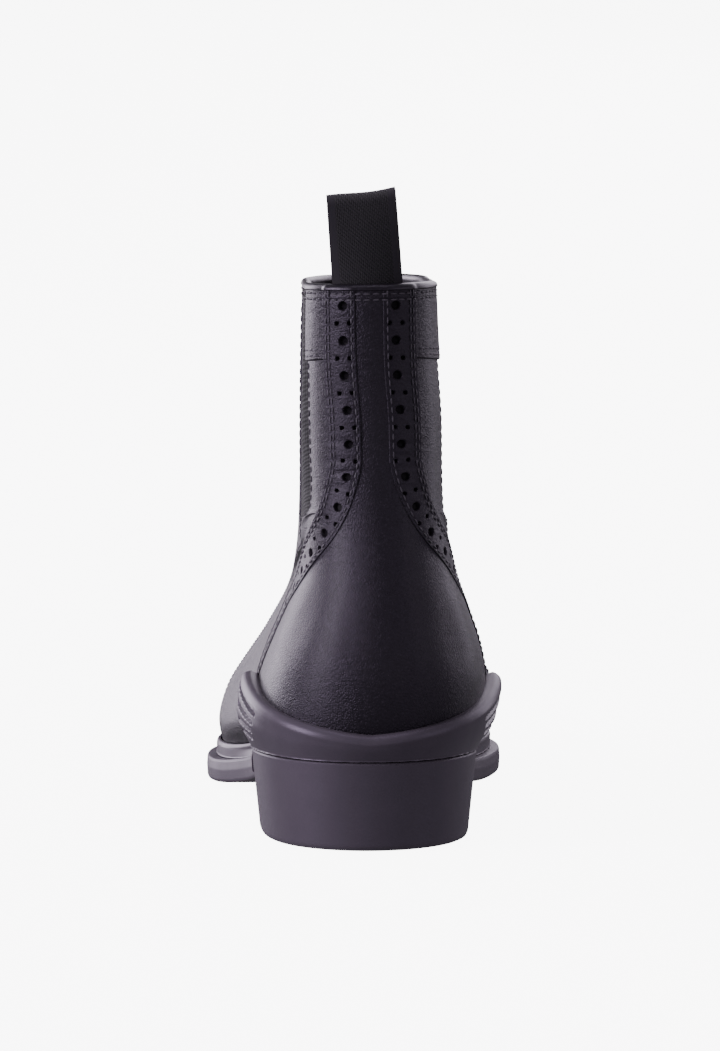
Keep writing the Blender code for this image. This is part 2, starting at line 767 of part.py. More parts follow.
def build_insole(lining):
    """The insole, lying on the rand's deck inside the upper."""
    toe = half_girth(1.0)
    spans = [stations_between(0.0, toe, 28)] * 2
    inset = -(UPPER_WALL + 2 * GAP)
    rows = (
        (inset - INSOLE_CHAMFER, GAP / 2),
        (inset, INSOLE_THICKNESS / 2),
        (inset - INSOLE_TOP_CHAMFER, INSOLE_THICKNESS),
    )
    layers = [
        sole_layer(spans, lambda y, out=margin: out, lambda y, up=rise: float(seat_height(y)) + up)
        for margin, rise in rows
    ]
    return make_slab("insole", layers, lining)


def inside_back(level, x):
    """The upper's inner face at the back, at a level and a place across."""
    turns = np.linspace(-1.2, 1.2, 41)
    xs, ys, zs = (ring_point(level, turns) - outward(level, turns) * UPPER_WALL).T
    return np.array([x, np.interp(x, xs, ys), np.interp(x, xs, zs)])


def build_pull_loop(web):
    """The pull loop: one web, folded at its top, with both ends inside the back of the collar."""
    x_mid, y_rim, z_rim = inside_back(TOP_LEVEL, float(ring_point(TOP_LEVEL, 0.0)[0]) + LOOP_SHIFT)
    near, far = LAY_GAP + LOOP_WEB / 2, LAY_GAP + 1.5 * LOOP_WEB + GAP
    tuck_level = TOP_LEVEL - LOOP_TUCK / level_size(TOP_LEVEL, 0.0)
    bend = LOOP_GAP / 2
    top = LOOP_RISE - bend - LOOP_WEB / 2
    tucked = np.linspace(tuck_level, TOP_LEVEL, 4)
    rises = top * np.array([0.3, 0.6, 0.85])
    path = [(level, near, 0.0) for level in tucked]
    path += [(TOP_LEVEL, blend(near, near - LOOP_BACK, float(ease(r / top))), r) for r in rises]
    for angle in np.linspace(math.pi, 0.0, 9):
        off = near - LOOP_BACK + bend * (1 + math.cos(angle))
        path.append((TOP_LEVEL, off, top + bend * math.sin(angle)))
    front = near - LOOP_BACK + 2 * bend
    path += [(TOP_LEVEL, blend(far, front, float(ease(r / top))), r) for r in rises[::-1]]
    path += [(level, far, 0.0) for level in tucked[::-1]]
    across = np.linspace(-LOOP_WIDTH / 2, LOOP_WIDTH / 2, 5)
    middle = []
    for level, off, rise in path:
        share = min(rise / LOOP_RISE, 1.0)
        row = []
        for x in across:
            wall = inside_back(level, x_mid + x)
            straight = inside_back(level, x_mid)
            y = blend(wall[1], straight[1], 1.0 - (1.0 - share) ** 2) + off
            z = blend(wall[2], straight[2], share) + rise + LOOP_SLANT * share * x / (LOOP_WIDTH / 2)
            row.append([x_mid + x - LOOP_LEAN * share, y, z])
        middle.append(row)
    middle = np.array(middle)
    runs = np.gradient(middle, axis=0)
    wide = np.gradient(middle, axis=1)
    normals = np.cross(wide, runs)
    normals /= np.linalg.norm(normals, axis=-1, keepdims=True)
    half = LOOP_WEB / 2
    return make_wall("pull_loop", middle + normals * half, middle - normals * half, web)


def centre_on_floor(things):
    """Moves all pieces together so that the frame's origin is under the middle of the boot."""
    corners = np.array([tuple(v.co) for thing in things for v in thing.data.vertices])
    low, high = corners.min(axis=0), corners.max(axis=0)
    shift = -(low + high) / 2
    shift[2] = -low[2]
    for thing in things:
        for vertex in thing.data.vertices:
            vertex.co = [float(c + s) for c, s in zip(vertex.co, shift)]


def main():
    """Builds every piece of the boot."""
    for thing in list(bpy.data.objects):
        bpy.data.objects.remove(thing)
    leather = make_material("black_leather", (0.020, 0.018, 0.022), 0.42)
    rubber = make_material("black_rubber", (0.028, 0.026, 0.030), 0.55)
    elastic = make_material("black_elastic", (0.022, 0.021, 0.026), 0.85)
    webbing = make_material("black_webbing", (0.020, 0.020, 0.027), 0.60)
    lining = make_material("black_lining", (0.030, 0.028, 0.030), 0.80)
    things = [
        build_upper(leather),
        build_counter(leather),
        build_toe_cap(leather),
        build_rand(rubber),
        build_outsole(rubber),
        build_heel(rubber),
        build_insole(lining),
        build_pull_loop(webbing),
    ]
    for side, where in ((1, "inner"), (-1, "outer")):
        things.append(build_gore(f"gore_{where}", side, elastic))
        things.append(build_band(f"punched_band_{where}", side, leather))
        things.append(build_facing(f"collar_facing_{where}", side, leather))
    centre_on_floor(things)


main()
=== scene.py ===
"""Looks of a left paddock boot: leather, elastic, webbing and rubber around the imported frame.

Lengths are in metres, in the frame's own axes: +Y from heel to toe, +X to the inner side, +Z up.
Places on the upper are given as a level, 0 at the feather edge and 10 at the collar, and a distance
round from the back seam, + on the inner side of the foot.
"""

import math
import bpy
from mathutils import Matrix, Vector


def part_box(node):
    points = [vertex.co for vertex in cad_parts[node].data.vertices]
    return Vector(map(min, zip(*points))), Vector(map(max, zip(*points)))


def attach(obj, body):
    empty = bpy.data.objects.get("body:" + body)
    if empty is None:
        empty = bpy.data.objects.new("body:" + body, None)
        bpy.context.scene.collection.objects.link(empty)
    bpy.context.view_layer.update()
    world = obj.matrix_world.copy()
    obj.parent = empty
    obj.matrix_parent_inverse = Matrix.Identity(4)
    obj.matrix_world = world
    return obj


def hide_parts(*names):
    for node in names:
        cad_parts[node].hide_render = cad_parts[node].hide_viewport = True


bl_info = {
    "name": "Paddock boot",
    "version": (1, 0, 0),
    "blender": (4, 5, 0),
    "location": "3D View > Sidebar > Boot",
    "description": "Makes the leather, elastic, webbing and rubber pieces of a paddock boot",
    "category": "Object",
}

import bpy
import numpy as np

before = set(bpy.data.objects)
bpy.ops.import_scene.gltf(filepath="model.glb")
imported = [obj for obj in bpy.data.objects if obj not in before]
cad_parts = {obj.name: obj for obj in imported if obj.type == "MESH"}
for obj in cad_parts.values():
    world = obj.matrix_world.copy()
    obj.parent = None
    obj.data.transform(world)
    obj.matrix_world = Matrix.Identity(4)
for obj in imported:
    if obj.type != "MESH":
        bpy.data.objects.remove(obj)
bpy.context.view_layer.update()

# The last and the shaft, as the solids have them
LAST_LENGTH = 0.2715
BALL_WIDTH = 0.090
HEEL_WIDTH = 0.068
INSTEP_HEIGHT = 0.093
TOE_SWING = 0.008
WAIST_SWING = -0.0025
BALL_SKEW = 0.05
COLLAR_HEIGHT = 0.1694
COLLAR_LENGTH = 0.1152
COLLAR_WIDTH = 0.0428
COLLAR_TILT = 0.0004
ANKLE_HEIGHT = 0.116
HEEL_SEAT = 0.0300
BALL_SEAT = 0.0107
TOE_SEAT = 0.0165
PITCH_END = 0.62
PITCH_CURVE = 1.3
SPRING_START = 0.74
UPPER_WALL = 0.0022
GAP = 0.0003
LAY_GAP = 0.0006

# The sole, as the solids have it
OUTSOLE_THICKNESS = 0.0078
MIDSOLE_THICKNESS = 0.0029
INSOLE_THICKNESS = 0.003
HEEL_EDGE = 0.0040
FOREPART_EDGE = 0.0022
LEDGE_WIDTH = 0.0032
LEDGE_START = 0.085
LEDGE_FULL = 0.150
HEEL_LENGTH = 0.060
HEEL_TAPER = 0.0024
BREAST_CURVE = 0.004
BREAST_GAP = 0.0003
BREAST_FROM = 0.92
RAND_HEEL_WALL = 0.0045
RAND_FORE_WALL = 0.0016
FORE_LIP_LEVEL = 0.28
CUP_LEVEL = 0.72
WING_LEVEL = 2.20
WING_RISE = 1.25
WING_REACH = 0.071
WING_FRONT = 0.012

# Panels of the upper
STRIP_HALF = 0.0038
BAND_WIDTH = 0.0108
GORE_REAR_INNER = 0.0365
GORE_REAR_OUTER = 0.0285
GORE_FRONT_TOP = 0.0860
GORE_FRONT_FOOT = 0.0795
GORE_FOOT_LEVEL = 6.2
GORE_CORNER = 0.70
GORE_FOOT_SHARE = 0.72
GORE_LIFT = -0.0006
FACING_LEVEL = 8.84
CAP_LINE = 0.755
QUARTER_LIFT = 0.0007
COUNTER_LIFT = 0.0014
FACING_LIFT = 0.0009
BAND_LIFT = 0.0018
CAP_LIFT = 0.0012
EDGE_TURN = 0.0005

# Where stations lie along a ring, from its back (0) to its front (1)
HEEL_SHARE = 0.15
WAIST_SHARE = 0.42
BALL_SHARE = 0.70
TOE_SHARE = 0.92
HEEL_ROUND = 0.88

RING_COLUMNS = (
    "back", "reach", "back_climb", "front_climb", "shaft", "heel", "waist", "ball", "toe", "blunt", "lean",
)
RINGS = (
    (0.0000, 1.000, 0.000, 0.000, 0.00, 0.897, 0.838, 0.964, 0.567, 1.00, 0.000),
    (-0.0088, 1.036, 0.101, 0.118, 0.03, 0.973, 1.012, 1.028, 0.643, 1.00, 0.015),
    (-0.0118, 1.091, 0.219, 0.242, 0.12, 1.020, 1.055, 1.036, 0.640, 0.95, 0.036),
    (-0.0103, 1.139, 0.349, 0.353, 0.25, 0.995, 1.030, 0.964, 0.553, 0.75, 0.046),
    (-0.0037, 1.144, 0.491, 0.451, 0.40, 0.920, 0.965, 0.860, 0.478, 0.55, 0.050),
    (0.0074, 1.148, 0.645, 0.582, 0.60, 0.845, 0.905, 0.785, 0.450, 0.50, 0.050),
    (0.0177, 1.103, 0.811, 0.778, 0.75, 0.855, 0.915, 0.790, 0.475, 0.60, 0.042),
    (0.0228, 1.081, 1.000, 1.000, 0.88, 0.895, 0.950, 0.860, 0.530, 0.80, 0.034),
    (0.0236, 1.054, 1.321, 1.303, 0.95, 0.915, 0.970, 0.910, 0.560, 1.00, 0.028),
    (0.0214, 1.065, 1.660, 1.645, 1.00, 0.900, 0.955, 0.930, 0.590, 1.00, 0.018),
    (0.0177, 1.000, 2.000, 2.000, 1.00, 0.860, 0.925, 0.905, 0.590, 1.00, 0.014),
)
TOP_LEVEL = len(RINGS) - 1

# Front edge of the counter: how far round from the back it lies, as a share of the wing's reach
COUNTER_EDGE = (
    # level, reach
    (2.30, 1.000),
    (3.00, 0.852),
    (4.00, 0.676),
    (4.60, 0.486),
    (5.00, 0.366),
    (5.50, 0.225),
    (6.00, 0.140),
    (6.50, 0.094),
    (7.00, 0.061),
    (8.00, 0.054),
    (10.0, 0.054),
)

# Front edge of the quarter below the gore: how far round it lies, as a share of the ring's half girth
QUARTER_EDGE = (
    # level, reach
    (0.20, 0.680),
    (1.00, 0.675),
    (2.00, 0.660),
    (3.00, 0.630),
    (4.00, 0.580),
    (4.60, 0.540),
    (5.00, 0.500),
    (5.25, 0.450),
    (5.45, 0.370),
    (5.65, 0.300),
    (5.85, 0.283),
    (6.05, 0.270),
    (6.20, 0.240),
)

# Soft folds, placed on the upper: where each starts and ends, how wide and how deep it is
FOLDS = (
    # side, start level, start share of half girth, end level, end share, width, depth
    (-1, 5.3, 0.98, 4.8, 0.62, 0.0050, -0.0011),
    (1, 5.3, 0.98, 4.8, 0.64, 0.0050, -0.0010),
    (-1, 5.7, 0.99, 5.6, 0.60, 0.0040, 0.0007),
    (1, 5.7, 0.99, 5.5, 0.62, 0.0040, 0.0007),
    (-1, 6.2, 0.99, 5.9, 0.66, 0.0045, -0.0010),
    (1, 6.2, 0.99, 6.0, 0.68, 0.0045, -0.0009),
    (-1, 3.9, 0.94, 2.2, 0.70, 0.0040, -0.0007),
    (1, 3.9, 0.94, 2.3, 0.72, 0.0040, -0.0007),
    (-1, 4.3, 0.93, 2.9, 0.66, 0.0038, 0.0004),
    (1, 4.3, 0.93, 2.9, 0.68, 0.0038, 0.0004),
    (-1, 4.5, 0.92, 3.3, 0.63, 0.0038, -0.0005),
    (1, 4.5, 0.92, 3.2, 0.65, 0.0038, -0.0005),
    (-1, 5.0, 0.22, 6.2, 0.34, 0.0040, -0.0006),
    (1, 4.9, 0.24, 6.0, 0.34, 0.0040, -0.0006),
    (-1, 2.6, 0.12, 4.6, 0.08, 0.0070, -0.0006),
    (1, 2.4, 0.10, 4.2, 0.07, 0.0070, -0.0005),
    (-1, 7.45, 0.00, 7.52, 0.13, 0.0011, -0.00012),
    (1, 7.45, 0.00, 7.38, 0.12, 0.0011, -0.00012),
    (-1, 7.18, 0.01, 7.12, 0.12, 0.0010, -0.00012),
    (1, 7.22, 0.01, 7.20, 0.14, 0.0010, -0.00012),
    (-1, 6.95, 0.00, 6.90, 0.10, 0.0010, -0.00013),
    (1, 6.98, 0.00, 7.03, 0.13, 0.0010, -0.00012),
    (-1, 6.72, 0.02, 6.62, 0.15, 0.0011, -0.00012),
    (1, 6.66, 0.01, 6.60, 0.12, 0.0011, -0.00012),
    (-1, 4.15, 0.170, 3.95, 0.205, 0.0010, -0.00012),
    (-1, 3.90, 0.180, 3.70, 0.215, 0.0010, -0.00012),
    (-1, 3.62, 0.190, 3.42, 0.225, 0.0010, -0.00012),
    (1, 4.05, 0.175, 3.85, 0.210, 0.0010, -0.00012),
    (1, 3.70, 0.190, 3.50, 0.225, 0.0010, -0.00012),
)

# Columns and rows of the upper's solid
SOLID_COLUMNS = 56
SOLID_ROWS = 21

# The finer pieces: how far they tuck under each other, and where their seams and holes lie
LINING_LIFT = -0.0013
VAMP_FOOT = 0.12
VAMP_LAP = 0.009
SEAM_INSETS = (0.0016, 0.0034)
GORE_SEAM = 0.0011
COUNTER_TUCK = 0.0012
BAND_TUCK = 0.0004
BAND_SINK = 0.15
COUNTER_SINK = 0.20
BAND_EASE = 0.012
BAND_FOOT_RUN = 0.009
BAND_SEAMS = (0.0009, 0.0081, 0.0092)
BIG_ROW = 0.0034
SMALL_ROWS = (0.0015, 0.0054)
FIRST_HOLE = 0.0050
BACK_DRIFT = -0.0007
DRIFT_FROM = 7.6
DRIFT_RUN = 1.2
GORE_TUCK = 0.0012
THREAD_RIDE = 0.00006
THREAD_FLAT = 0.70
BINDING_HEIGHT = 0.0009
BINDING_INSIDE = 0.0060
BINDING_OUT_SHARE = 0.45
BINDING_IN_SHARE = 0.72
BINDING_ROUND = 0.0015
BINDING_PROUD = 0.0003
COLLAR_SEAMS = (0.0015, 0.0033)

# Pull loop
LOOP_SHIFT = -0.0009
LOOP_WEB = 0.0013
LOOP_RISE = 0.0290
LOOP_TUCK = 0.022
LOOP_GAP = 0.0050
LOOP_BACK = 0.001
LOOP_LEAN = 0.0022
LOOP_SLANT = 0.0016

# Slots of the rand's wings, and its section's shares
SLOT_COUNT = 4
SLOT_DEPTH = 0.0014
SLOT_RUN = 0.0280
SLOT_FRONT = 0.0060
SLOT_TURN = 0.90
SLOT_TOP = 0.88
SLOT_STEP = 0.18
SLOT_DROP = 0.09
SLOT_SLANT = 0.90
SLOT_EDGE = 0.0005
SLOT_FACE_TOP = 0.92
LEVEL_RISE = 0.0098
RAND_FACE_FROM = 0.06
RAND_FACE_TO = 0.86
LIP_SWEEP = 0.0028
LIP_END = 0.28
FACE_TURN = 0.35
FACE_BLEND = 0.28
WING_SWELL = 0.0016
SWELL_KNOTS = (0.034, 0.066, 0.073, 0.084)

# Tread
TREAD_DEPTH = 0.0014
TREAD_WIDTH = 0.0022
TREAD_PITCH = 0.0085
TREAD_FROM = 0.56
TREAD_TO = 0.86
TREAD_BORDER = 0.0075

# Walls of the sheets, and how they are laid
VAMP_WALL = 0.0011
QUARTER_WALL = 0.0010
COUNTER_WALL = 0.0008
BAND_WALL = 0.0009
FACING_WALL = 0.0005
CAP_WALL = 0.0008
GORE_WALL = 0.0005
BINDING_WALL = 0.0004
EDGE_FOOT = -0.0003
DEEP_FOOT = -0.0010
CLOTH_LEVEL = 0.010
FURROW_WIDTH = 0.00035
FURROW_DEPTH = 0.00014
HOLE_DEPTH = 0.0012
HOLE_RAMP = 0.00035
RIB_DEPTH = 0.00014
CRIMP_LEVELS = 0.09
CRIMP_DEPTH = 0.00004
FACING_TUCK = 0.0010
FACING_GAP = 0.0002

# How the rows and columns of the larger sheets are shared out
VAMP_ROWS = (0.0, 0.62, 0.70, 1.0)
VAMP_CROWD = 0.10
QUARTER_ROWS = (0.0, 0.42, 0.64, 1.0)
QUARTER_CROWD = 0.08
LAP_FROM = 0.016
LAP_RUN = 0.010
COUNTER_CROWD = 0.9
COUNTER_FADE_LEVEL = 6.0
CAP_TOP_LEVEL = 6.0
CAP_SAMPLES = 300
CAP_CROWD = 1.4
BAND_STEPS = 1200
SEW_STEPS = 400
FOLD_POINTS = 9
FOLD_FADE = 0.7
RAND_CROWD = (0.14, 0.60, 0.68)
RAND_CROWD_AT = (0.036, 0.081, 0.095)

# Rounded edges and details of the sole
SOLE_ROUND = 0.0009
SIDE_BULGE = 0.0002
SIDE_MIDDLE = 0.0042
HEEL_ROUND_BY = 0.0012
HEEL_TOP_ROUND = 0.0006
HEEL_TOP_INSET = 0.0004
ROUND_KNEE = 0.3
WING_END_SHARE = 0.9
WALL_EASE = 0.0015
RAND_INSIDE_TO = 0.90
RAND_DECK_FROM = 0.92
FLASH_PLACE = 0.012
FLASH_HEIGHT = 0.0004
HEEL_CHANNELS = (0.20, 0.35, 0.50, 0.65, 0.80)
WELD = 0.000002

# Smaller measures of the panels
GORE_BLEND = 0.05
GORE_BELOW = 0.06
QUARTER_LEVELS = (VAMP_FOOT, 5.0, 6.25, TOP_LEVEL)
LAP_LEVELS = 0.2
BAND_START = 0.02
CAP_SKIP = 20
CAP_SHARE_END = 0.99999
STEP_RUN = 0.002
BINDING_UNDER = 0.0006
BINDING_TURN = 0.0005
BINDING_TURN_RUN = 0.0007
BINDING_CLOTH = 0.015
FOLD_END = 0.02
SMOOTH_ANGLE = math.radians(38)

# Where the sewing of the panels starts and ends
QUARTER_SEAM_FROM = 0.5
QUARTER_SEAM_END = 0.08
FRONT_SEAM_FROM = 0.2
FRONT_SEAM_END = 0.3
REAR_SEAM_FROM = 0.1
FOOT_SEAM_LEVEL = 0.012
FACING_SEAM_AT = 0.02
FACING_SEAM_INSET = (0.001, 0.0005)
STITCH_SEGMENTS = 6
STITCH_RINGS = 4
STITCH_REACH = 0.0003

# Wear and shape of the pull loop, the flash and the breast
LOOP_STEPS = 40
LOOP_BELLY = 0.0007
LOOP_DENT = 0.0005
DENT_WAVE = 2.2
DENT_SHIFT = 0.7
SAME_PLACE = 1e-7
FLASH_WAVES = (900.0, 2300.0)
FLASH_RAGGED = 0.45
BREAST_SAMPLES = 300
BREAST_BAND = 0.004
BREAST_LAST = 0.99
HEEL_BORDER = 0.012
INSOLE_FOOT_INSET = 0.001
INSOLE_TOP_INSET = 0.0006

# Columns and rows of each piece's grid
GRIDS = {
    "upper_lining": (150, 50),
    "vamp": (170, 140),
    "quarter": (110, 165),
    "heel_counter": (120, 225),
    "band": (38, 560),
    "facing": (40, 40),
    "toe_cap_leather": (110, 70),
    "gore_web": (170, 64),
    "collar_binding": (360, 26),
    "pull_loop_web": (42, 240),
    "rand_rubber": (520, 88),
    "outsole_rubber": (360, 50),
    "heel_block": (220, 90),
    "insole_board": (160, 20),
    "studio_floor": (160, 160),
}

# Colours and strengths that no one would change
SKY_COLOUR = (0.95, 0.90, 1.0, 1.0)
SKY_STRENGTH = 0.17
FLOOR_COLOUR = (0.92, 0.92, 0.92, 1.0)
FLOOR_GLOW = 8.0
SHEEN_TINT = (0.88, 0.77, 1.0, 1.0)
# Painted shade inside the punched holes: near black
HOLE_SHADE_COLOUR = (0.0012, 0.001, 0.0012, 1.0)
LAMP_COLOUR = (0.96, 0.88, 1.0)

# Floor
FLOOR_HALF = 4.0
FLOOR_FLAT = 1.2
FLOOR_CURVE = 0.15
FLOOR_DROP = 0.0002

# Samples in the tables of the upper's face
LEVEL_SAMPLES = 301
TURN_SAMPLES = 721
ARC_SAMPLES = 641
INSIDE_TABLE = 1.000001
LEVEL_STEP = 0.1

# Stage
LIGHTS = (
    # name, place, target, size, power
    ("softbox_left", (-1.85, -0.70, 0.70), (0.0, -0.05, 0.07), (1.1, 1.4), 42.0),
    ("rim_left", (-1.15, 1.50, 0.40), (0.0, 0.05, 0.04), (0.9, 1.2), 21.0),
    ("rim_right", (1.25, 1.00, 0.55), (0.0, 0.0, 0.07), (0.5, 1.2), 5.0),
    ("fill_right", (1.60, -0.90, 0.55), (0.0, -0.05, 0.06), (1.2, 1.2), 4.0),
    ("front", (0.70, 2.20, 1.00), (0.0, 0.05, 0.05), (1.4, 1.2), 14.0),
    ("low_back", (0.25, -1.70, 0.05), (0.0, -0.1, 0.05), (1.6, 0.3), 1.3),
    ("top", (0.0, -0.1, 1.6), (0.0, 0.0, 0.1), (0.8, 0.8), 3.0),
)
CAMERA_FOCAL = 167.06
CAMERA_SENSOR = 36.0
CAMERA_DISTANCE = 1.600
CAMERA_NEAR = 0.05
CAMERA_ELEVATION = math.radians(4.6)
CAMERA_TURN = math.radians(-1.5)
CAMERA_TARGET = (0.0007, 0.0004, 0.0876)


def blend(low, high, share):
    """The value that lies a share of the way from low to high."""
    return low + (high - low) * share


def ease(share):
    """0 to 1 with a soft start and end."""
    share = np.clip(share, 0.0, 1.0)
    return share * share * (3.0 - 2.0 * share)


def curve_through(knots, values, at):
    """A smooth curve through values at rising knots."""
    knots = np.asarray(knots, float)
    values = np.asarray(values, float)
    at = np.clip(at, knots[0], knots[-1])
    steps = np.diff(knots)
    rises = np.diff(values) / steps
    slopes = np.empty_like(values)
    slopes[0], slopes[-1] = rises[0], rises[-1]
    slopes[1:-1] = (rises[:-1] * steps[1:] + rises[1:] * steps[:-1]) / (steps[:-1] + steps[1:])
    i = np.clip(np.searchsorted(knots, at, side="right") - 1, 0, len(steps) - 1)
    h = steps[i]
    u = (at - knots[i]) / h
    return (
        values[i] * (1 + 2 * u) * (1 - u) ** 2
        + slopes[i] * h * u * (1 - u) ** 2
        + values[i + 1] * u * u * (3 - 2 * u)
        + slopes[i + 1] * h * u * u * (u - 1)
    )


def seat_height(y):
    """Height of the feather edge at y: level at the ball, raised at the heel and sprung at the toe."""
    share = np.asarray(y, float) / LAST_LENGTH
    pitch = 1.0 - ease((np.clip(share, 0.0, None) / PITCH_END) ** PITCH_CURVE)
    spring = (np.clip(share - SPRING_START, 0.0, None) / (1.0 - SPRING_START)) ** 2
    return BALL_SEAT + (HEEL_SEAT - BALL_SEAT) * pitch + (TOE_SEAT - BALL_SEAT) * spring


def climb_height(climb, foot, bend):
    """Height after climbing from foot to bend (0 to 1) and on to the collar (1 to 2)."""
    return blend(foot, bend, climb) if climb <= 1.0 else blend(bend, COLLAR_HEIGHT, climb - 1.0)


def ring_row(level):
    """The ring table's columns at any level, with the ring's real lengths worked out."""
    rows = np.array(RINGS)
    row = {}
    for name, column in zip(RING_COLUMNS, rows.T):
        row[name] = float(curve_through(range(len(RINGS)), column, level))
    shaft = row["shaft"]
    row["length"] = row["reach"] * blend(LAST_LENGTH, COLLAR_LENGTH, shaft)
    row["y"] = row["back"] * LAST_LENGTH
    row["back_z"] = climb_height(row["back_climb"], HEEL_SEAT, ANKLE_HEIGHT)
    row["front_z"] = climb_height(row["front_climb"], TOE_SEAT, INSTEP_HEIGHT)
    heel_unit = blend(HEEL_WIDTH, COLLAR_WIDTH, shaft) / 2
    ball_unit = blend(BALL_WIDTH, COLLAR_WIDTH, shaft) / 2
    row["halves"] = (row["heel"] * heel_unit, row["waist"] * heel_unit, row["ball"] * ball_unit,
                     row["toe"] * ball_unit)
    return row


def ring_points(level, turn):
    """Points of the upper's face on one ring. turn is 0 at the back, pi at the front, + on the inside."""
    row = ring_row(level)
    share = (1.0 - np.cos(turn)) / 2.0
    heel, toe = row["halves"][0], row["halves"][-1]
    ends = [math.sqrt(2 * r * row["length"]) / 2 for r in (HEEL_ROUND * heel, row["blunt"] * toe)]
    fullness = []
    for side in (1.0, -1.0):
        ball_at = BALL_SHARE + side * BALL_SKEW * (1.0 - row["shaft"])
        stations = (HEEL_SHARE, WAIST_SHARE, ball_at, TOE_SHARE)
        inner = [w / (2 * math.sqrt(s * (1 - s))) for w, s in zip(row["halves"], stations)]
        fullness.append(curve_through((0.0, *stations, 1.0), (ends[0], *inner, ends[1]), share))
    half = np.where(np.sin(turn) >= 0, fullness[0], fullness[1]) * np.sin(turn)
    y = row["y"] + row["length"] * share
    swing = curve_through((-0.1, HEEL_SHARE, WAIST_SHARE, BALL_SHARE, 1.1),
                          (0.0, 0.0, WAIST_SWING, 0.0, TOE_SWING), y / LAST_LENGTH)
    x = swing * (1.0 - row["shaft"]) + row["lean"] * HEEL_WIDTH + half
    straight = blend(row["back_z"], row["front_z"], share)
    seat_line = blend(seat_height(row["y"]), seat_height(row["y"] + row["length"]), share)
    z = straight + (1.0 - row["shaft"]) * (seat_height(y) - seat_line)
    z = z + COLLAR_TILT * row["shaft"] ** 4 * np.sin(turn)
    return np.stack([x, y, z], axis=-1)


def along_line(distance, places, points):
    """Points read off a line of points, at distances on the scale of its places."""
    return np.stack([np.interp(distance, places, points[:, axis]) for axis in range(3)], axis=-1)


def run_length(points):
    """Distance along a line of points, from its first."""
    return np.concatenate([[0.0], np.cumsum(np.linalg.norm(np.diff(points, axis=0), axis=1))])


